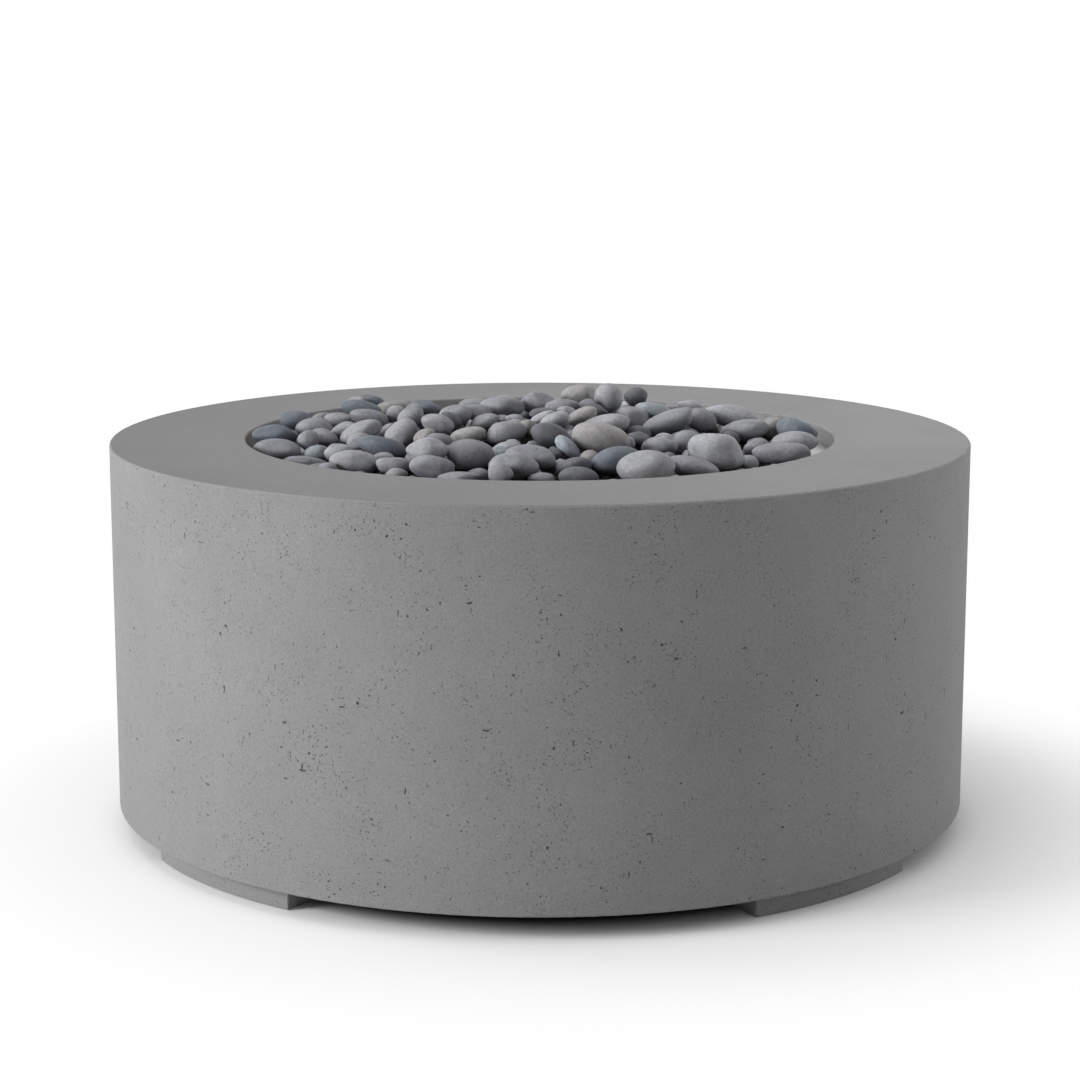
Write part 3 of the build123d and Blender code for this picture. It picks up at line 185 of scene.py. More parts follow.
def close_tree(tree, shape, material):
    """End a geometry node tree in real faces with their finish."""
    solid = add_node(tree, "GeometryNodeRealizeInstances", {0: shape})
    made = add_node(tree, "GeometryNodeSetMaterial", {"Geometry": solid.outputs[0], "Material": material})
    add_node(tree, "NodeGroupOutput", {0: made.outputs[0]})
    return tree


def grow(tree, mesh, **values):
    """Run a geometry node tree on a mesh and return what it makes as a plain mesh."""
    carrier = bpy.data.objects.new(tree.name, mesh)
    bpy.context.scene.collection.objects.link(carrier)
    modifier = carrier.modifiers.new(tree.name, "NODES")
    modifier.node_group = tree
    for item in tree.interface.items_tree:
        if item.in_out == "INPUT" and item.name in values:
            modifier[item.identifier] = values[item.name]
    graph = bpy.context.evaluated_depsgraph_get()
    made = bpy.data.meshes.new_from_object(carrier.evaluated_get(graph))
    carrier.modifiers.remove(modifier)
    bpy.data.objects.remove(carrier)
    return made


# Sizes and colours that a user would change


def colour_of(name, description, code):
    """A colour, given as its sRGB hex value."""
    return FloatVectorProperty(name=name, description=description, subtype="COLOR", size=4, min=0, max=1,
                               default=linear(code))


def length_of(name, description, size):
    """A length, given in metres."""
    return FloatProperty(name=name, description=description, unit="LENGTH", default=size, min=0.1 * MM)


def angle_of(name, description, degrees):
    """An angle, given in degrees."""
    return FloatProperty(name=name, description=description, subtype="ANGLE", default=math.radians(degrees))


def power_of(name, description, watts):
    """A light's power, given in watts."""
    return FloatProperty(name=name, description=description, unit="POWER", default=watts, min=0)


class FireBowlConcrete(bpy.types.PropertyGroup):
    """The concrete's colours and the real sizes of its patterns."""

    colour: colour_of("Colour", "The concrete's lighter grey", "#838383")
    dark_colour: colour_of("Dark colour", "The concrete's darker clouds", "#7d7d7d")
    # Painted shade: the colour of the holes' insides stands in for the shade that falls in them
    hole_shade_colour: colour_of("Hole colour", "The inside of the air holes", "#3a3938")
    cloud: length_of("Cloud", "Width of the large clouds", 190 * MM)
    mottle: length_of("Mottle", "Width of the small clouds", 24 * MM)
    sand: length_of("Sand", "Grain of the sand, drawn coarse enough to show", 2.2 * MM)
    hole: length_of("Hole", "Radius of the largest round air holes", 1.9 * MM)
    hole_spacing: length_of("Hole spacing", "Distance between neighbouring air holes", 8 * MM)
    hole_cluster: length_of("Hole cluster", "Width of a cluster of air holes", 55 * MM)


class FireBowlStones(bpy.types.PropertyGroup):
    """The stones' rocks and how far they are from round."""

    pale: colour_of("Pale", "Pale grey rock", "#8e8f93")
    mid: colour_of("Mid", "Mid grey rock", "#7f8085")
    dark: colour_of("Dark", "Dark grey rock", "#585a5e")
    slate: colour_of("Slate", "Bluish rock", "#61676f")
    pale_slate: colour_of("Pale slate", "Pale bluish rock", "#8a9097")
    sand: colour_of("Sand", "Warm grey rock", "#8a8888")
    rust_colour: colour_of("Rust", "Rusty stains", "#78726d")
    vein_colour: colour_of("Vein", "Thin pale veins", "#a3a3a2")
    # Painted shade: the colour of the pits' insides stands in for the shade that falls in them
    pit_shade_colour: colour_of("Pit", "The inside of small pits", "#2c2b2a")
    flatness: FloatProperty(
        name="Flatness", description="Depth of the worn flats, as a share of a stone's radius",
        default=0.2, min=0, max=0.4)
    unevenness: FloatProperty(
        name="Unevenness", description="Soft swellings, as a share of a stone's radius",
        default=0.055, min=0, max=0.1)
    seed: IntProperty(name="Seed", description="Another number makes other stones", default=7, min=0)


class FireBowlFill(bpy.types.PropertyGroup):
    """The lava and the small stones that lie between the large ones."""

    lava_colour: colour_of("Lava", "Black lava rock", "#141313")
    lava_pale: colour_of("Pale lava", "The lava's dusty parts", "#383331")
    lump: length_of("Lump", "Usual radius of a loose lump of lava", 7.5 * MM)
    lump_spacing: length_of("Lump spacing", "Least distance between loose lumps", 11 * MM)
    small_dark: colour_of("Small dark", "The darkest small stones", "#5c5e62")
    small_pale: colour_of("Small pale", "The palest small stones", "#8b8d91")
    small: length_of("Small stone", "Largest radius of a small stone", 13 * MM)
    small_spacing: length_of("Small spacing", "Least distance between small stones", 24 * MM)


class FireBowlFittings(bpy.types.PropertyGroup):
    """Detail on the gas fittings and the knob."""

    inlet_pitch: length_of("Inlet pitch", "Distance between the turns of the inlet's thread", 1.5 * MM)
    nipple_pitch: length_of("Nipple pitch", "Distance between the turns of the nipple's thread", 1.8 * MM)
    grip: length_of("Grip", "Radius of the knob's grip, which the pointer reaches", 16.5 * MM)
    pointer: length_of("Pointer", "Width of the knob's pointer", 1.9 * MM)


class FireBowlStage(bpy.types.PropertyGroup):
    """The camera of the photograph, the floor and the lights."""

    lens: FloatProperty(name="Lens", description="Focal length in millimetres", default=86.07, min=1)
    distance: length_of("Distance", "Level distance from the bowl's axis", 3.0563)
    rise: length_of("Rise", "Height above the rim", 0.4354)
    turn: angle_of("Turn", "Angle round the bowl from the front", 2.75)
    pitch: angle_of("Pitch", "Angle below the horizon", 10.457)
    floor_colour: colour_of("Floor", "The floor's white", "#f0f0f0")
    floor_near: length_of("Floor near", "Distance at which the floor starts to turn plain white", 0.38)
    floor_far: length_of("Floor far", "Distance at which the floor is plain white", 0.8)
    left_power: power_of("Left light", "Large soft light at the left", 255)
    top_power: power_of("Top light", "Soft light from overhead on to the right of the rim", 9)
    right_power: power_of("Right light", "Soft light at the right rear", 61)
    air: FloatProperty(name="Air", description="Even light from all round", default=0.56, min=0)


# Materials


def two_tones(tree, pattern, span, deep, pale):
    """A colour that goes from deep to pale as a pattern goes through a span of its values."""
    share = add_node(tree, "ShaderNodeMapRange", {"Value": pattern, **span})
    return add_node(tree, "ShaderNodeMix", {0: share.outputs[0], 6: deep, 7: pale},
                    data_type="RGBA").outputs[2]


def toned(tree, colour, pattern, low, high):
    """A colour made darker and lighter by a pattern, between two shares of itself."""
    tone = add_node(tree, "ShaderNodeMapRange", {
        "Value": pattern, "From Min": 0.25, "From Max": 0.75, "To Min": low, "To Max": high,
    })
    return add_node(tree, "ShaderNodeVectorMath", {0: colour, "Scale": tone.outputs[0]},
                    operation="SCALE").outputs[0]


def hollows(tree, place, spacing, radius, bare, edge, depth, crowd=1.0, channel=0):
    """How deep a place lies in a small hollow: 0 on the skin, and up to a depth inside."""
    # Each cell of the pattern picks its hollow's radius, and a share of the cells stays bare
    cells = add_node(tree, "ShaderNodeTexVoronoi", {"Vector": place, "Scale": 1 / spacing})
    pick = add_node(tree, "ShaderNodeSeparateColor", {0: cells.outputs["Color"]})
    reach = add_node(tree, "ShaderNodeMapRange", {
        "Value": pick.outputs[channel], "From Min": bare, "To Max": radius / spacing,
    })
    reach = add_node(tree, "ShaderNodeMath", {0: reach.outputs[0], 1: crowd}, operation="MULTIPLY")
    inside = add_node(tree, "ShaderNodeMath", {0: reach.outputs[0], 1: cells.outputs["Distance"]},
                      operation="SUBTRACT")
    return add_node(tree, "ShaderNodeMapRange", {
        "Value": inside.outputs[0], "From Max": edge / spacing, "To Max": depth,
    }, interpolation_type="SMOOTHSTEP").outputs[0]


def cast_concrete(look):
    """Grey concrete cast in a smooth mould."""
    # A mould leaves a dense, dull skin with faint clouds, a little sand showing, and trapped air as
    # small holes in clusters, their insides coloured dark as painted shade.
    material, tree, shader, place = new_material("concrete_cast_in_smooth_mould")
    clouds, mottle, sand = (add_node(tree, "ShaderNodeTexNoise", {
        "Vector": place, "Scale": 1 / size, "Detail": detail, "Roughness": roughness,
    }).outputs[0] for size, detail, roughness in (
        (look.cloud, 4.0, 0.55), (look.mottle, 5.0, 0.6), (look.sand, 2.0, 0.7),
    ))
    colour = two_tones(tree, clouds, MID_SPAN, look.dark_colour, look.colour)
    colour = toned(tree, colour, mottle, 0.965, 1.035)
    colour = toned(tree, colour, sand, 0.86, 1.14)
    holes = air_holes(tree, place, look)
    # Painted shade: the holes are coloured dark inside, where shade falls
    colour = add_node(tree, "ShaderNodeMix", {0: holes, 6: colour, 7: look.hole_shade_colour},
                      data_type="RGBA").outputs[2]
    dull = add_node(tree, "ShaderNodeMapRange", {"Value": mottle, **MID_SPAN, "To Min": 0.74, "To Max": 0.9})
    wire(tree, shader, {
        "Base Color": colour, "Roughness": dull.outputs[0], "Specular IOR Level": 0.2,
        "Normal": relief(tree, 0.8, (sand, 0.16 * MM), (mottle, 0.5 * MM), (holes, -2 * MM)),
    })
    return material


def air_holes(tree, place, look):
    """How much a place lies in an air hole: 0 on the skin, up to 1 in a hole."""
    # Holes come in clusters. On the rim, which was trowelled, they are less than half as wide.
    height = add_node(tree, "ShaderNodeSeparateXYZ", {0: place})
    on_wall = add_node(tree, "ShaderNodeMapRange", {
        "Value": height.outputs[2], "From Min": SHELL_TOP - 3 * MM, "From Max": SHELL_TOP - 1 * MM,
        "To Min": 1.0, "To Max": 0.4,
    })
    cluster = add_node(tree, "ShaderNodeTexNoise", {
        "Vector": place, "Scale": 1 / look.hole_cluster, "Detail": 2.0, "Roughness": 0.65,
    })
    grouped = add_node(tree, "ShaderNodeMapRange", {
        "Value": cluster.outputs[0], "From Min": 0.18, "From Max": 0.66, "To Max": on_wall.outputs[0],
    })
    # The place is shaken a little, so that no hole is a plain circle
    shake = add_node(tree, "ShaderNodeTexNoise", {"Vector": place, "Scale": 1 / (4 * MM), "Detail": 1.0})
    shaken = add_node(tree, "ShaderNodeVectorMath", {0: shake.outputs[1], 1: (2 * look.hole,) * 3, 2: place},
                      operation="MULTIPLY_ADD")
    holes = 0.0
    # Each row: spacing and largest radius against the usual hole's, share of cells with no hole, the
    # pattern's stretch and turn, and how deep its holes are and how dark their painted shade is
    for wide, size, bare, stretch, turn, dark in (
        (0.32, 0.6, 0.45, (1, 1, 1), (0, 0, 0), 0.65),
        (0.85, 0.9, 0.68, (1, 1, 1), (0, 0, 0), 1.0),
        (1.1, 0.8, 0.58, (1, 1, 0.24), (0.5, 0.35, 0), 0.85),
        (1.2, 0.8, 0.58, (0.3, 0.3, 1), (0.2, 0.3, 0.2), 0.85),
    ):
        turned = add_node(tree, "ShaderNodeMapping", {
            "Vector": shaken.outputs[0], "Location": (wide, wide, wide), "Rotation": turn, "Scale": stretch,
        })
        row = hollows(tree, turned.outputs[0], look.hole_spacing * wide, look.hole * size, bare, 0.15 * MM,
                      dark, crowd=grouped.outputs[0])
        holes = add_node(tree, "ShaderNodeMath", {0: holes, 1: row}, operation="MAXIMUM").outputs[0]
    return holes


def river_stone(look):
    """Water-worn beach pebbles of mixed rock."""
    # Tumbling leaves a fine dull skin. The rock shows as soft clouds and a fine speckle, and some
    # stones have rusty stains, thin pale veins or a few pits, whose dark insides are painted shade.
    material, tree, shader, place = new_material("stone_water_worn")
    rock, rust, vein = (add_node(tree, "ShaderNodeAttribute", attribute_name=name)
                        for name in ("rock_colour", "rock_rust", "rock_vein"))
    clouds, speckle, stains, seams = (add_node(tree, "ShaderNodeTexNoise", {
        "Vector": place, "Scale": 1 / size, "Detail": detail, "Roughness": roughness, "Distortion": twist,
    }).outputs[0] for size, detail, roughness, twist in (
        (17 * MM, 5.0, 0.6, 0.4), (4.5 * MM, 4.0, 0.8, 0.0),
        (26 * MM, 4.0, 0.65, 0.0), (38 * MM, 2.0, 0.4, 0.6),
    ))
    colour = toned(tree, rock.outputs["Color"], clouds, 0.78, 1.2)
    colour = toned(tree, colour, speckle, 0.7, 1.26)
    stain = add_node(tree, "ShaderNodeMapRange", {
        "Value": stains, "From Min": 0.5, "From Max": 0.72, "To Max": rust.outputs["Fac"],
    })
    # A vein runs where its noise crosses one half
    off_line = add_node(tree, "ShaderNodeMath", {0: seams, 1: 0.5}, operation="SUBTRACT")
    off_line = add_node(tree, "ShaderNodeMath", {0: off_line.outputs[0]}, operation="ABSOLUTE")
    line = add_node(tree, "ShaderNodeMapRange", {
        "Value": off_line.outputs[0], "From Min": 0.004, "From Max": 0.014,
        "To Min": vein.outputs["Fac"], "To Max": 0.0,
    })
    pits = hollows(tree, place, spacing=15 * MM, radius=1.65 * MM, bare=0.5, edge=0.75 * MM, depth=0.6,
                   channel=1)
    # Stains and veins are the rock's own colour; the pits are coloured dark as painted shade
    for share, tint in ((stain.outputs[0], look.rust_colour), (line.outputs[0], look.vein_colour),
                        (pits, look.pit_shade_colour)):
        colour = add_node(tree, "ShaderNodeMix", {0: share, 6: colour, 7: tint}, data_type="RGBA").outputs[2]
    dull = add_node(tree, "ShaderNodeMapRange", {"Value": clouds, **MID_SPAN, "To Min": 0.58, "To Max": 0.76})
    wire(tree, shader, {
        "Base Color": colour, "Roughness": dull.outputs[0], "Specular IOR Level": 0.35,
        "Normal": relief(tree, 0.7, (speckle, 0.55 * MM), (clouds, 0.9 * MM), (pits, -0.9 * MM)),
    })
    return material


def lava_rock(look):
    """Crushed black lava, full of gas bubbles."""
    # The bubbles break open as small pits, so the rock is black, rough and never shines.
    material, tree, shader, place = new_material("lava_rock_crushed")
    bubbles = add_node(tree, "ShaderNodeTexVoronoi", {"Vector": place, "Scale": 1 / (4.5 * MM)})
    lumps = add_node(tree, "ShaderNodeTexNoise", {
        "Vector": place, "Scale": 1 / (12 * MM), "Detail": 6.0, "Roughness": 0.7,
    }).outputs[0]
    wire(tree, shader, {
        "Base Color": two_tones(tree, lumps, MID_SPAN, look.lava_colour, look.lava_pale),
        "Roughness": 0.95, "Specular IOR Level": 0.2,
        "Normal": relief(tree, 1.0, (bubbles.outputs["Distance"], 1.6 * MM), (lumps, 5 * MM)),
    })
    return material


def worked_metal(name, pale, deep, grain, roughness, height):
    """A bare metal whose working leaves lines or a grain, of its own size along each axis."""
    material, tree, shader, place = new_material(name)
    stretched = add_node(tree, "ShaderNodeMapping", {
        "Vector": place, "Scale": tuple(1 / size for size in grain),
    })
    lines = add_node(tree, "ShaderNodeTexNoise", {
        "Vector": stretched.outputs[0], "Scale": 1.0, "Detail": 3.0, "Roughness": 0.6,
    }).outputs[0]
    blooms = add_node(tree, "ShaderNodeTexNoise", {
        "Vector": place, "Scale": 1 / (40 * MM), "Detail": 3.0, "Roughness": 0.5,
    })
    share = add_node(tree, "ShaderNodeMath", {0: lines, 1: 0.6}, operation="MULTIPLY")
    share = add_node(tree, "ShaderNodeMath", {0: blooms.outputs[0], 1: 0.4, 2: share.outputs[0]},
                     operation="MULTIPLY_ADD").outputs[0]
    colour = two_tones(tree, share, {"From Min": 0.35, "From Max": 0.65}, linear(deep), linear(pale))
    gloss = add_node(tree, "ShaderNodeMapRange", {
        "Value": share, **MID_SPAN, "To Min": roughness - 0.08, "To Max": roughness + 0.1,
    })
    wire(tree, shader, {
        "Base Color": colour, "Roughness": gloss.outputs[0], "Metallic": 1.0,
        "Normal": relief(tree, 0.5, (lines, height)),
    })
    return material


def dull_skin(name, pale, deep, grain, roughness, height):
    """A moulded, glazed or painted skin: two close tones in soft clouds over a fine grain."""
    material, tree, shader, place = new_material(name)
    clouds = add_node(tree, "ShaderNodeTexNoise", {
        "Vector": place, "Scale": 1 / (22 * MM), "Detail": 3.0, "Roughness": 0.5,
    }).outputs[0]
    grains = add_node(tree, "ShaderNodeTexNoise", {
        "Vector": place, "Scale": 1 / grain, "Detail": 2.0, "Roughness": 0.6,
    }).outputs[0]
    share = add_node(tree, "ShaderNodeMath", {0: clouds, 1: grains}, operation="ADD")
    colour = two_tones(tree, share.outputs[0], {"From Min": 0.7, "From Max": 1.3}, linear(deep), linear(pale))
    gloss = add_node(tree, "ShaderNodeMapRange", {
        "Value": clouds, **MID_SPAN, "To Min": roughness - 0.06, "To Max": roughness + 0.06,
    })
    wire(tree, shader, {
        "Base Color": colour, "Roughness": gloss.outputs[0],
        "Normal": relief(tree, 0.6, (grains, height)),
    })
    return material


def white_floor(look):
    """A matt white studio floor that runs out to plain white, with a painted shadow under the bowl."""
    # Close to the bowl it is lit as any floor and keeps the shadow. Further out it is plain white to
    # the eye and in reflections. Under the bowl the floor's colour is painted dark, a painted shadow that
    # deepens the real one.
    material, tree, shader, place = new_material("studio_floor_matt_white")
    # Where the painted shadow ends and where the plain white may start, in metres from the bowl's axis
    from_axis = add_node(tree, "ShaderNodeVectorMath", {0: place}, operation="LENGTH")
    past_painted_shadow, past_wall = (add_node(tree, "ShaderNodeMapRange", {
        "Value": from_axis.outputs["Value"], "From Min": near, "From Max": far,
    }, interpolation_type="SMOOTHSTEP").outputs[0] for near, far in ((0.43, 0.475), (0.47, 0.54)))
    # Painted shadow: the floor's own colour is near black under the bowl
    colour = add_node(tree, "ShaderNodeMix", {0: past_painted_shadow, 6: linear("#2a2a2a"), 7: look.floor_colour},
                      data_type="RGBA")
    wire(tree, shader, {"Base Color": colour.outputs[2], "Roughness": 0.9, "Specular IOR Level": 0.1})
    # The shadow falls a little to the right and the rear, and the plain white keeps clear of it
    aside = add_node(tree, "ShaderNodeVectorMath", {0: place, 1: (0.07, 0.03, 0.0)}, operation="DISTANCE")
    away = add_node(tree, "ShaderNodeMapRange", {
        "Value": aside.outputs["Value"], "From Min": look.floor_near, "From Max": look.floor_far,
        "To Max": past_wall,
    })
    shown = add_node(tree, "ShaderNodeMath", {0: away.outputs[0], 1: seen_plain(tree)}, operation="MULTIPLY")
    white = add_node(tree, "ShaderNodeEmission", {"Color": linear("#ffffff"), "Strength": 1.0})
    mixed = add_node(tree, "ShaderNodeMixShader", {
        0: shown.outputs[0], 1: shader.outputs[0], 2: white.outputs[0],
    })
    wire(tree, tree.get_output_node("ALL"), {"Surface": mixed.outputs[0]})
    return material


def seen_plain(tree):
    """Whether a ray comes from the camera, or from a reflection or a see-through surface."""
    ray = add_node(tree, "ShaderNodeLightPath").outputs
    seen = ray["Is Camera Ray"]
    for other in ("Is Glossy Ray", "Is Transmission Ray"):
        seen = add_node(tree, "ShaderNodeMath", {0: seen, 1: ray[other]}, operation="MAXIMUM").outputs[0]
    return seen


# Operators


class FIREBOWL_OT_concrete(bpy.types.Operator):
    """Finish the shell and its feet as cast concrete"""

    bl_idname = "firebowl.concrete"
    bl_label = "Concrete shell and feet"

    def execute(self, context):
        dress(cast_concrete(context.scene.fire_bowl_concrete),
              *(name for name, slot in SLOT_OF.items() if slot == "concrete"))
        return {"FINISHED"}


class FIREBOWL_OT_metalwork(bpy.types.Operator):
    """Finish the pan, the burner, the gas feed and the control box"""

    bl_idname = "firebowl.metalwork"
    bl_label = "Metalwork"

    def execute(self, context):
        finishes = {
            # Rolled sheet, rubbed one way with a fine belt: long hair lines and a soft sheen. The lines
            # are drawn coarser than the real belt leaves them, so that they show.
            "stainless": worked_metal("stainless_sheet_belt_brushed", "#d6d5d1", "#b9b8b5",
                                      (60 * MM, 0.9 * MM, 0.9 * MM), 0.3, 0.04 * MM),
            # Bright zinc plate: pale, a little blue, with a fine cloudy bloom.
            "zinc_steel": worked_metal("steel_zinc_plated", "#c3c7cb", "#a3a6ab",
                                       (3 * MM, 3 * MM, 3 * MM), 0.34, 0.02 * MM),
            # Turned from bar: warm yellow with fine rings round the axis.
            "brass": worked_metal("brass_turned", "#d2b06a", "#b08c48",
                                  (30 * MM, 30 * MM, 0.7 * MM), 0.28, 0.03 * MM),
            # Sand cast and left bare: dull silver with a gritty skin.
            "cast_aluminium": worked_metal("aluminium_sand_cast", "#bfc0c1", "#98999b",
                                           (1.4 * MM, 1.4 * MM, 1.4 * MM), 0.5, 0.14 * MM),
            # Drawn tube: warm red, browned a little by the air.
            "copper": worked_metal("copper_drawn", "#c98a68", "#9c6447",
                                   (20 * MM, 20 * MM, 20 * MM), 0.32, 0.02 * MM),
            # Glazed white alumina: hard, smooth and faintly cream.
            "ceramic": dull_skin("alumina_glazed", "#ece8df", "#ddd8cd", 2 * MM, 0.3, 0.01 * MM),
            # Moulded silicone: dull brick red that holds dust.
            "silicone": dull_skin("silicone_moulded", "#8c3a30", "#76302a", 1 * MM, 0.6, 0.03 * MM),
            # A printed steel can, plain grey.
            "battery_case": dull_skin("battery_can_printed", "#6d6f74", "#5a5c61", 3 * MM, 0.38, 0.01 * MM),
            # Glass-filled nylon with a spark-eroded grain: black, dull and finely dimpled.
            "black_plastic": dull_skin("nylon_black_moulded", "#262626", "#1a1a1a", 0.9 * MM, 0.52,
                                       0.06 * MM),
        }
        for node, slot in SLOT_OF.items():
            if slot in finishes:
                dress(finishes[slot], node)
        return {"FINISHED"}


def stone_ellipsoids(mesh):
    """Centre, axes and half sizes of each separate stone in a CAD mesh."""
    points = np.zeros(len(mesh.vertices) * 3)
    mesh.vertices.foreach_get("co", points)
    points = points.reshape(-1, 3)
    corners = np.zeros(len(mesh.loops), np.int64)
    mesh.loops.foreach_get("vertex_index", corners)
    # The mesh is loose triangles, so equal points are one, and each stone takes its lowest point's number
    welded = np.unique(np.round(points, 6), axis=0, return_inverse=True)[1].ravel()
    corners = welded[corners].reshape(-1, 3)
    label = np.arange(welded.max() + 1)
    before = None
    while not np.array_equal(before, label):
        before = label.copy()
        lowest = label[corners].min(axis=1)
        for column in range(3):
            np.minimum.at(label, corners[:, column], lowest)
        label = label[label]
    # Each stone's ellipsoid is the best quadric through its points
    stones = []
    for number in np.unique(label):
        own = points[label[welded] == number]
        middle = own.mean(axis=0)
        size = np.abs(own - middle).max()
        x, y, z = ((own - middle) / size).T
        terms = np.stack([x * x, y * y, z * z, 2 * x * y, 2 * x * z, 2 * y * z, x, y, z], axis=1)
        a, b, c, d, e, f, g, h, i = np.linalg.lstsq(terms, np.ones(len(own)), rcond=None)[0]
        form = np.array([[a, d, e], [d, b, f], [e, f, c]])
        centre = -np.linalg.solve(form, np.array([g, h, i])) / 2
        values, vectors = np.linalg.eigh(form / (1 + centre @ form @ centre))
        stones.append((middle + centre * size, vectors.T, size / np.sqrt(values)))
    return stones


def ball_faces(cuts):
    """A ball made of six square grids, as unit points and four-cornered faces."""
    mesh = bmesh.new()
    bmesh.ops.create_cube(mesh, size=2.0)
    bmesh.ops.subdivide_edges(mesh, edges=mesh.edges[:], cuts=cuts, use_grid_fill=True)
    mesh.verts.index_update()
    points = np.tan(np.array([v.co for v in mesh.verts]) * math.pi / 4)
    faces = np.array([[v.index for v in f.verts] for f in mesh.faces])
    mesh.free()
    return points / np.linalg.norm(points, axis=1)[:, None], faces


def worn_stone(ball, look, chance):
    """A ball worn to a pebble: a few soft flats and slow swellings, still as long, wide and high."""
    points = ball.copy()
    # Four to seven flats, each a plane that the points over it are softly pressed to
    for _ in range(chance.integers(4, 8)):
        facing = chance.normal(size=3)
        facing /= np.linalg.norm(facing)
        level = 1 - look.flatness * chance.uniform(0.25, 1.0)
        softness = chance.uniform(0.05, 0.11)
        over = softness * np.logaddexp(0, (points @ facing - level) / softness)
        points -= over[:, None] * facing
    # Four slow waves, each with its own way and length
    swelling = np.zeros(len(ball))
    for _ in range(4):
        facing = chance.normal(size=3)
        facing *= chance.uniform(1.2, 3.2) / np.linalg.norm(facing)
        swelling += np.sin(ball @ facing + chance.uniform(0, 2 * math.pi))
    points *= (1 + look.unevenness * swelling / 2)[:, None]
    low, high = points.min(axis=0), points.max(axis=0)
    return (points - (low + high) / 2) / ((high - low) / 2)


def photo_place(point, stage):
    """Where a point of the model is in the photograph, in pixels, and how far off, in metres."""
    ahead = np.array([-math.sin(stage.turn), math.cos(stage.turn), 0.0])
    eye = -stage.distance * ahead + np.array([0, 0, SHELL_TOP + stage.rise])
    across = np.cross(ahead, (0, 0, 1))
    sight = math.cos(stage.pitch) * ahead - np.array([0, 0, math.sin(stage.pitch)])
    up = np.cross(across, sight)
    offset = point - eye
    scale = stage.lens / SENSOR * IMAGE_PX / (offset @ sight)
    return IMAGE_PX / 2 + offset @ across * scale, IMAGE_PX / 2 - offset @ up * scale, offset @ sight


def sort_rocks(stones, stage):
    """The kind of rock of each stone that the photograph shows, by the stone's number."""
    seen = np.array([photo_place(stone[1], stage) for stone in stones])
    kinds = {}
    for kind, places in STONE_PLACES.items():
        for place in places:
            apart = np.hypot(*(seen[:, :2] - place).T)
            close = np.flatnonzero(apart < PLACE_REACH)
            if len(close):
                nearest = close[np.argmin(apart[close] + PLACE_DEPTH * seen[close, 2])]
                kinds.setdefault(int(nearest), kind)
    return kinds


class FIREBOWL_OT_stones(bpy.types.Operator):
    """Turn each CAD stone into a water-worn pebble of its own rock"""

    bl_idname = "firebowl.stones"
    bl_label = "River stones"

    def execute(self, context):
        look = context.scene.fire_bowl_stones
        stones = [(node, *stone) for node in STONE_NODES
                  for stone in stone_ellipsoids(frame["nodes"][node].data)]
        if len(stones) < FEWEST_STONES:
            raise RuntimeError("the stones in the CAD model could not be told apart")
        kinds = sort_rocks(stones, context.scene.fire_bowl_stage)
        material = river_stone(look)
        ball, faces = ball_faces(STONE_CUTS)
        for node in STONE_NODES:
            points, rocks = [], []
            for number, (owner, centre, axes, sizes) in enumerate(stones):
                if owner != node:
                    continue
                chance = np.random.default_rng(look.seed * 1000 + number)
                kind = kinds.get(number) or chance.choice(list(STONE_CHANCES), p=list(STONE_CHANCES.values()))
                colour = np.array(getattr(look, kind))[:3] * chance.uniform(0.9, 1.1)
                points.append(centre + worn_stone(ball, look, chance) * sizes @ axes)
                # Every warm stone is stained, three in ten others are a little, and some have a vein
                rust = chance.uniform(0.4, 0.8) if kind == "sand" else chance.choice([0.0, 0.3], p=[0.7, 0.3])
                vein = chance.choice([0.0, 0.16], p=[0.85, 0.15])
                rocks.append((*colour, 1.0, rust, vein))
            every_face = np.concatenate([faces + count * len(ball) for count in range(len(points))])
            mesh = bpy.data.meshes.new("stones_" + node.removeprefix("pebbles_"))
            mesh.from_pydata(np.concatenate(points).tolist(), [], every_face.tolist())
            rocks = np.repeat(np.array(rocks, np.float32), len(ball), axis=0)
            for name, kind, field, columns in (
                ("rock_colour", "FLOAT_COLOR", "color", slice(0, 4)),
                ("rock_rust", "FLOAT", "value", 4),
                ("rock_vein", "FLOAT", "value", 5),
            ):
                mesh.attributes.new(name, kind, "POINT").data.foreach_set(field, rocks[:, columns].flatten())
            shell = bmesh.new()
            shell.from_mesh(mesh)
            bmesh.ops.recalc_face_normals(shell, faces=shell.faces[:])
            shell.to_mesh(mesh)
            shell.free()
            mesh.shade_smooth()
            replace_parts(new_piece(mesh.name, mesh, material), node)
        return {"FINISHED"}


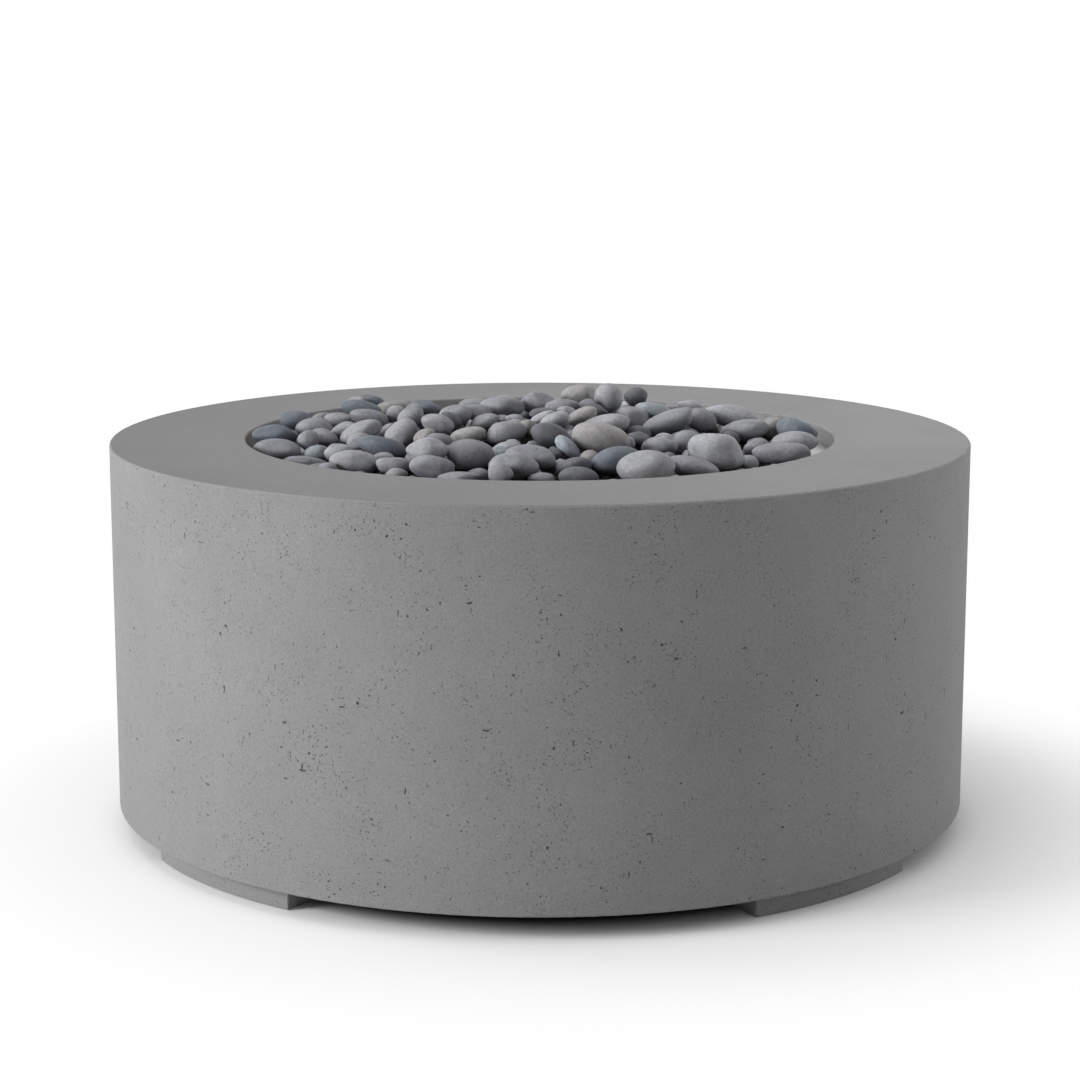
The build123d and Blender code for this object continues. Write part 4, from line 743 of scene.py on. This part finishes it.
class FIREBOWL_OT_lava(bpy.types.Operator):
    """Finish the lava fill, and strew loose lava and small stones between the large ones"""

    bl_idname = "firebowl.lava"
    bl_label = "Lava rock and small stones"

    def execute(self, context):
        look = context.scene.fire_bowl_fill
        lava = lava_rock(look)
        dress(lava, "lava_bed")
        stone = bpy.data.objects["stones_front_left"].data.materials[0]
        heap = self.whole_heap()
        # Each kind: its spacing, radius, height over the fill, least room, seed, finish and slot
        for name, spacing, radius, lift, clear, seed, material, slot in (
            ("lava_loose", look.lump_spacing, look.lump, 0.0, 3.5 * MM, 3, lava, "lava"),
            ("stones_small", look.small_spacing, look.small, 6 * MM, 8 * MM, 5, stone, "pebble"),
        ):
            broken = slot == "lava"
            made = grow(self.strewn(name, broken, look), self.dome(), Stones=heap, Spacing=spacing,
                        Radius=radius, Lift=lift, Clear=clear, Seed=seed, Material=material)
            if not broken:
                made.shade_smooth()
            new_piece(name, made, material)
        bpy.data.objects.remove(heap)
        return {"FINISHED"}

    def dome(self):
        """The top of the lava fill as rings of faces."""
        low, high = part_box("lava_bed")
        radius = (high.x - low.x) / 2
        # The level of the fill's upper edge, and how far the rings stay inside it
        edge = max(v.co.z for v in frame["nodes"]["lava_bed"].data.vertices
                   if v.co.xy.length > radius - 0.5 * MM)
        rings, turns, margin = 24, 72, 6 * MM
        points = [(0.0, 0.0, high.z)]
        for ring in range(1, rings + 1):
            r = (radius - margin) * ring / rings
            level = high.z - (high.z - edge) * (r / radius) ** 2
            points += [(r * math.cos(math.tau * turn / turns), r * math.sin(math.tau * turn / turns), level)
                       for turn in range(turns)]
        faces = [(0, 1 + turn, 1 + (turn + 1) % turns) for turn in range(turns)]
        for first in range(1, 1 + (rings - 1) * turns, turns):
            for turn in range(turns):
                after = (turn + 1) % turns
                faces.append((first + turn, first + turns + turn, first + turns + after, first + after))
        mesh = bpy.data.meshes.new("lava_dome")
        mesh.from_pydata(points, [], faces)
        return mesh

    def whole_heap(self):
        """All the stones as one passing object, to keep what is strewn clear of them."""
        joined = bmesh.new()
        for node in STONE_NODES:
            joined.from_mesh(bpy.data.objects["stones_" + node.removeprefix("pebbles_")].data)
        mesh = bpy.data.meshes.new("heap")
        joined.to_mesh(mesh)
        joined.free()
        heap = bpy.data.objects.new("heap", mesh)
        bpy.context.scene.collection.objects.link(heap)
        return heap

    def strewn(self, name, broken, look):
        """Broken lumps, or else small smooth stones, strewn over a surface where no stone lies on it."""
        tree, given = new_tree(name, Stones="Object", Spacing="Float", Radius="Float", Lift="Float",
                               Clear="Float", Seed="Int", Material="Material")
        spots = add_node(tree, "GeometryNodeDistributePointsOnFaces", {
            "Mesh": given["Geometry"], "Distance Min": given["Spacing"], "Seed": given["Seed"],
            # So many to the square metre that the spacing alone decides
            "Density Max": 60000.0,
        }, distribute_method="POISSON")
        lift = add_node(tree, "ShaderNodeCombineXYZ", {"Z": given["Lift"]})
        spots = add_node(tree, "GeometryNodeSetPosition", {
            "Geometry": spots.outputs["Points"], "Offset": lift.outputs[0],
        })
        stones = add_node(tree, "GeometryNodeObjectInfo", {"Object": given["Stones"]})
        room = add_node(tree, "GeometryNodeProximity", {0: stones.outputs["Geometry"]},
                        target_element="FACES").outputs["Distance"]
        covered = add_node(tree, "FunctionNodeCompare", {0: room, 1: given["Clear"]},
                           data_type="FLOAT", operation="LESS_THAN")
        bare = add_node(tree, "GeometryNodeDeleteGeometry", {
            "Geometry": spots.outputs[0], "Selection": covered.outputs[0],
        }, domain="POINT")
        lump = add_node(tree, "GeometryNodeMeshIcoSphere", {"Radius": 1.0, "Subdivisions": 2})
        spin = add_node(tree, "FunctionNodeRandomValue", {1: (math.tau,) * 3, "Seed": given["Seed"]},
                        data_type="FLOAT_VECTOR")
        size = add_node(tree, "FunctionNodeRandomValue", {
            0: (0.7, 0.6, 0.5), 1: (1.3, 1.1, 0.9), "Seed": given["Seed"],
        }, data_type="FLOAT_VECTOR")
        reach = given["Radius"]
        if not broken:
            # A smooth stone is no larger than the room between the stones round it
            reach = add_node(tree, "ShaderNodeMath", {0: room, 1: reach}, operation="MINIMUM").outputs[0]
        size = add_node(tree, "ShaderNodeVectorMath", {0: size.outputs[0], "Scale": reach}, operation="SCALE")
        shape = add_node(tree, "GeometryNodeInstanceOnPoints", {
            "Points": bare.outputs[0], "Instance": lump.outputs["Mesh"],
            "Rotation": spin.outputs[0], "Scale": size.outputs[0],
        }).outputs[0]
        if broken:
            # Noise moves each point by up to 4 mm along each axis, which makes the lumps jagged
            solid = add_node(tree, "GeometryNodeRealizeInstances", {0: shape})
            crags = add_node(tree, "ShaderNodeTexNoise", {"Scale": 1 / (7 * MM), "Detail": 2.0})
            shift = add_node(tree, "ShaderNodeVectorMath", {0: crags.outputs[1], 1: (0.5, 0.5, 0.5)},
                             operation="SUBTRACT")
            shift = add_node(tree, "ShaderNodeVectorMath", {0: shift.outputs[0], "Scale": 8 * MM},
                             operation="SCALE")
            shape = add_node(tree, "GeometryNodeSetPosition", {
                "Geometry": solid.outputs[0], "Offset": shift.outputs[0],
            }).outputs[0]
        else:
            share = add_node(tree, "FunctionNodeRandomValue", {"Seed": given["Seed"]})
            grey = add_node(tree, "ShaderNodeMix", {
                0: share.outputs[1], 6: look.small_dark, 7: look.small_pale,
            }, data_type="RGBA")
            shape = add_node(tree, "GeometryNodeStoreNamedAttribute", {
                "Geometry": shape, "Name": "rock_colour", "Value": grey.outputs[2],
            }, data_type="FLOAT_COLOR", domain="INSTANCE").outputs[0]
        return close_tree(tree, shape, given["Material"])


class FIREBOWL_OT_screws(bpy.types.Operator):
    """Replace the plain screws of the box and the standoffs with socket screws"""

    bl_idname = "firebowl.screws"
    bl_label = "Screws"

    def execute(self, context):
        for node, outward in (("control_box_screws", (0, 1, 0)), ("standoff_screws", (0, 0, -1))):
            heads, length, head_r, head_h, shank_r = self.measure(node, outward)
            mesh = bpy.data.meshes.new("spots")
            mesh.from_pydata([tuple(head) for head in heads], [], [])
            screw = bpy.data.objects.new("screw", self.socket_screw(length, head_r, head_h, shank_r))
            context.scene.collection.objects.link(screw)
            turn = Vector((0, 0, 1)).rotation_difference(Vector(outward)).to_euler()
            material = frame["nodes"][node].material_slots[0].material
            made = grow(self.set_in(), mesh, Screw=screw, Turn=tuple(turn), Material=material)
            bpy.data.objects.remove(screw)
            made.set_sharp_from_angle(angle=math.radians(40))
            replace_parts(new_piece("socket_" + node, made, material), node)
        return {"FINISHED"}

    def measure(self, node, outward):
        """Where each head's top is and the screws' sizes, read from the CAD node."""
        points = np.array([v.co for v in frame["nodes"][node].data.vertices])
        axis = np.array(outward)
        along = points @ axis
        flat = points - np.outer(along, axis)
        groups = []
        # No two screws are as close as this, and no head is as wide
        apart = 30 * MM
        for point in flat[along > along.max() - 1e-6]:
            for group in groups:
                if np.linalg.norm(group[0] - point) < apart:
                    group.append(point)
                    break
            else:
                groups.append([point])
        middles = [(np.min(group, axis=0) + np.max(group, axis=0)) / 2 for group in groups]
        from_axis = np.min([np.linalg.norm(flat - middle, axis=1) for middle in middles], axis=0)
        shank_r = from_axis[along < along.min() + 1e-6].max()
        head_r = from_axis.max()
        head_h = along.max() - along[from_axis > head_r - 1e-5].min()
        heads = [middle + axis * along.max() for middle in middles]
        return heads, along.max() - along.min(), head_r, head_h, shank_r

    def socket_screw(self, length, head_r, head_h, shank_r):
        """A screw with its head's top at the origin: a domed head with a hexagon socket."""
        sides = 24
        hexagon = [math.cos(math.pi / 6) / math.cos((math.tau * i / sides) % (math.pi / 3) - math.pi / 6)
                   for i in range(sides)]
        key_r = head_r * 0.48
        # The outline from the tip to the socket's floor: radius, level, and whether it has six sides
        outline = [
            (shank_r * 0.7, -length, False), (shank_r, -length + shank_r * 0.4, False),
            (shank_r, -head_h, False), (head_r * 0.94, -head_h, False), (head_r, -head_h * 0.86, False),
            (head_r, -head_h * 0.5, False), (head_r * 0.93, -head_h * 0.2, False),
            (head_r * 0.78, -head_h * 0.04, False), (head_r * 0.64, 0.0, False),
            (key_r * 1.08, 0.0, True), (key_r, -head_h * 0.08, True), (key_r * 0.98, -head_h * 0.7, True),
        ]
        points, faces = [], []
        for radius, level, six_sided in outline:
            for i in range(sides):
                r = radius * (hexagon[i] if six_sided else 1.0)
                angle = math.tau * i / sides
                points.append((r * math.cos(angle), r * math.sin(angle), level))
        for ring in range(len(outline) - 1):
            for i in range(sides):
                a, b = ring * sides + i, ring * sides + (i + 1) % sides
                faces.append((a, b, b + sides, a + sides))
        faces.append(tuple(reversed(range(sides))))
        faces.append(tuple(range((len(outline) - 1) * sides, len(outline) * sides)))
        mesh = bpy.data.meshes.new("screw")
        mesh.from_pydata(points, [], faces)
        mesh.shade_smooth()
        return mesh

    def set_in(self):
        """One screw at each point."""
        tree, given = new_tree("set_in_screws", Screw="Object", Turn="Vector", Material="Material")
        screw = add_node(tree, "GeometryNodeObjectInfo", {"Object": given["Screw"]})
        spots = add_node(tree, "GeometryNodeMeshToPoints", {"Mesh": given["Geometry"]})
        turn = add_node(tree, "FunctionNodeEulerToRotation", {0: given["Turn"]})
        set_in = add_node(tree, "GeometryNodeInstanceOnPoints", {
            "Points": spots.outputs[0], "Instance": screw.outputs["Geometry"], "Rotation": turn.outputs[0],
        })
        return close_tree(tree, set_in.outputs[0], given["Material"])


class FIREBOWL_OT_threads(bpy.types.Operator):
    """Wind the screw threads on the gas inlet and the hub nipple"""

    bl_idname = "firebowl.threads"
    bl_label = "Threads"

    def execute(self, context):
        look = context.scene.fire_bowl_fittings
        inlet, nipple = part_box("gas_inlet"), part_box("hub_nipple")
        tail = MOUNTS["gas_inlet"]["dims"]
        # Each thread: its name, node, radius, lowest and highest turn, and pitch. It stops about a
        # millimetre short at both ends.
        runs = (
            ("inlet_thread", "gas_inlet", tail["r_mm"] * MM, inlet[0].z + 1.5 * MM,
             inlet[0].z + (tail["length_mm"] - 1) * MM, look.inlet_pitch),
            ("nipple_thread", "hub_nipple", (nipple[1].x - nipple[0].x) / 2,
             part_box("air_mixer")[1].z + 0.8 * MM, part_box("hub_locknuts")[0].z - 0.8 * MM, look.nipple_pitch),
        )
        tree = self.wound()
        for name, node, radius, low, high, pitch in runs:
            middle = sum(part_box(node), Vector()) / 2
            material = frame["nodes"][node].material_slots[0].material
            # A ridge is narrower than the pitch, so that a groove stays between the turns
            ridge = pitch * 0.42
            made = grow(tree, bpy.data.meshes.new(name), Radius=radius, Height=high - low,
                        Turns=(high - low) / pitch, Ridge=ridge, Foot=(middle.x, middle.y, low),
                        Material=material)
            new_piece(name, made, material)
        return {"FINISHED"}

    def wound(self):
        """A ridge wound in a screw line."""
        tree, given = new_tree("wound_thread", Radius="Float", Height="Float", Turns="Float", Ridge="Float",
                               Foot="Vector", Material="Material")
        line = add_node(tree, "GeometryNodeCurveSpiral", {
            "Resolution": 28, "Rotations": given["Turns"], "Start Radius": given["Radius"],
            "End Radius": given["Radius"], "Height": given["Height"],
        })
        ridge = add_node(tree, "GeometryNodeCurvePrimitiveCircle", {
            "Resolution": 6, "Radius": given["Ridge"],
        })
        wound = add_node(tree, "GeometryNodeCurveToMesh", {
            "Curve": line.outputs[0], "Profile Curve": ridge.outputs[0], "Fill Caps": True,
        })
        stood = add_node(tree, "GeometryNodeTransform", {
            "Geometry": wound.outputs[0], "Translation": given["Foot"],
        })
        return close_tree(tree, stood.outputs[0], given["Material"])


class FIREBOWL_OT_pointer(bpy.types.Operator):
    """Fill the knob's pointer groove with white paint"""

    bl_idname = "firebowl.pointer"
    bl_label = "Knob pointer"

    def execute(self, context):
        look = context.scene.fire_bowl_fittings
        low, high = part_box("control_knob")
        middle = (low + high) / 2
        # Baked paint: white, smooth and slightly glossy, a little lower than the groove's edges
        paint = dull_skin("paint_white_filled", "#efeeea", "#e4e3de", 2 * MM, 0.35, 0.02 * MM)
        line = bmesh.new()
        bmesh.ops.create_cube(line, size=1.0)
        # It runs from near the knob's middle to near the grip's edge
        start, end = middle.z + 0.2 * MM, middle.z + look.grip - 1 * MM
        thick, face = 0.6 * MM, high.y - 0.4 * MM
        bmesh.ops.scale(line, vec=(look.pointer, thick, end - start), verts=line.verts[:])
        bmesh.ops.translate(line, vec=(middle.x, face - thick / 2, (start + end) / 2), verts=line.verts[:])
        bmesh.ops.bevel(line, geom=line.edges[:], offset=0.2 * MM, segments=2, affect="EDGES", profile=0.5)
        mesh = bpy.data.meshes.new("knob_pointer")
        line.to_mesh(mesh)
        line.free()
        new_piece("knob_pointer", mesh, paint, body="knob")
        return {"FINISHED"}


class FIREBOWL_OT_stage(bpy.types.Operator):
    """Set up the floor, the lights and the photograph's camera"""

    bl_idname = "firebowl.stage"
    bl_label = "Stage"

    def execute(self, context):
        scene, look = context.scene, context.scene.fire_bowl_stage
        self.lay_floor(scene, look)
        self.hang_lights(scene, look)
        self.fill_air(scene, look)
        self.aim_camera(scene, look)
        scene.view_settings.view_transform = "Standard"
        return {"FINISHED"}

    def lay_floor(self, scene, look):
        """A wide white floor, just under the feet."""
        reach = 9.0
        mesh = bpy.data.meshes.new("studio_floor")
        mesh.from_pydata([(-reach, -reach, 0), (reach, -reach, 0), (reach, reach, 0), (-reach, reach, 0)], [],
                         [(0, 1, 2, 3)])
        mesh.materials.append(white_floor(look))
        floor = bpy.data.objects.new("studio_floor", mesh)
        floor.location.z = -0.2 * MM
        scene.collection.objects.link(floor)

    def hang_lights(self, scene, look):
        """Three soft lights."""
        # Each light: its place, where it points, its width and height, how far it spreads, its power
        for name, place, aim, width, height, spread, power in (
            ("left_light", (-4.6, -1.9, 1.7), (0, 0, 0.3), 2.0, 2.0, 180, look.left_power),
            ("top_light", (-1.0, 0.3, 3.0), (1.25, 0.1, 0.45), 1.0, 1.4, 58, look.top_power),
            ("right_light", (4.1, 1.9, 0.7), (0, 0, 0.35), 2.2, 1.0, 180, look.right_power),
        ):
            lamp = bpy.data.lights.new(name, "AREA")
            lamp.shape = "RECTANGLE"
            lamp.size, lamp.size_y, lamp.energy, lamp.spread = width, height, power, math.radians(spread)
            light = bpy.data.objects.new(name, lamp)
            light.location = place
            light.rotation_euler = (Vector(aim) - light.location).to_track_quat("-Z", "Y").to_euler()
            scene.collection.objects.link(light)

    def fill_air(self, scene, look):
        """Even light from all round, on plain white."""
        world = bpy.data.worlds.new("studio_air")
        world.use_nodes = True
        tree = world.node_tree
        tree.nodes.clear()
        # The room is dimmer near the floor, so little light creeps in under the bowl
        way = add_node(tree, "ShaderNodeTexCoord").outputs["Generated"]
        height = add_node(tree, "ShaderNodeSeparateXYZ", {0: way})
        level = add_node(tree, "ShaderNodeMapRange", {
            "Value": height.outputs[2], "From Max": 0.4, "To Min": 0.25 * look.air, "To Max": look.air,
        })
        air = add_node(tree, "ShaderNodeBackground", {
            "Color": linear("#ffffff"), "Strength": level.outputs[0],
        })
        white = add_node(tree, "ShaderNodeBackground", {"Color": linear("#ffffff"), "Strength": 1.0})
        mixed = add_node(tree, "ShaderNodeMixShader", {
            0: seen_plain(tree), 1: air.outputs[0], 2: white.outputs[0],
        })
        add_node(tree, "ShaderNodeOutputWorld", {"Surface": mixed.outputs[0]})
        scene.world = world

    def aim_camera(self, scene, look):
        """The photograph's camera."""
        lens = bpy.data.cameras.new("photo_camera")
        lens.sensor_width, lens.lens = SENSOR, look.lens
        camera = bpy.data.objects.new("photo_camera", lens)
        camera.location = (look.distance * math.sin(look.turn), -look.distance * math.cos(look.turn),
                           SHELL_TOP + look.rise)
        camera.rotation_euler = (math.pi / 2 - look.pitch, 0, look.turn)
        scene.collection.objects.link(camera)
        scene.camera = camera


# In the order in which they are run: the stones before what lies between them, and the metal finishes
# before the pieces that take them
STEPS = (FIREBOWL_OT_concrete, FIREBOWL_OT_metalwork, FIREBOWL_OT_stones, FIREBOWL_OT_lava,
         FIREBOWL_OT_screws, FIREBOWL_OT_threads, FIREBOWL_OT_pointer, FIREBOWL_OT_stage)
GROUPS = {
    "fire_bowl_concrete": FireBowlConcrete,
    "fire_bowl_stones": FireBowlStones,
    "fire_bowl_fill": FireBowlFill,
    "fire_bowl_fittings": FireBowlFittings,
    "fire_bowl_stage": FireBowlStage,
}


class FIREBOWL_PT_panel(bpy.types.Panel):
    """The fire bowl's steps and what they use"""

    bl_label = "Fire bowl"
    bl_idname = "FIREBOWL_PT_panel"
    bl_space_type = "VIEW_3D"
    bl_region_type = "UI"
    bl_category = "Fire bowl"

    def draw(self, context):
        for step in STEPS:
            self.layout.operator(step.bl_idname)
        for name, group in GROUPS.items():
            box = self.layout.box()
            for label in group.__annotations__:
                box.prop(getattr(context.scene, name), label)


def register():
    for kind in (*GROUPS.values(), *STEPS, FIREBOWL_PT_panel):
        bpy.utils.register_class(kind)
    for name, group in GROUPS.items():
        setattr(bpy.types.Scene, name, PointerProperty(type=group))


def unregister():
    for name in GROUPS:
        delattr(bpy.types.Scene, name)
    for kind in (FIREBOWL_PT_panel, *STEPS, *GROUPS.values()):
        bpy.utils.unregister_class(kind)


def main():
    register()
    bpy.ops.firebowl.concrete()
    bpy.ops.firebowl.metalwork()
    bpy.ops.firebowl.stones()
    bpy.ops.firebowl.lava()
    bpy.ops.firebowl.screws()
    bpy.ops.firebowl.threads()
    bpy.ops.firebowl.pointer()
    bpy.ops.firebowl.stage()


if __name__ == "__main__":
    main()
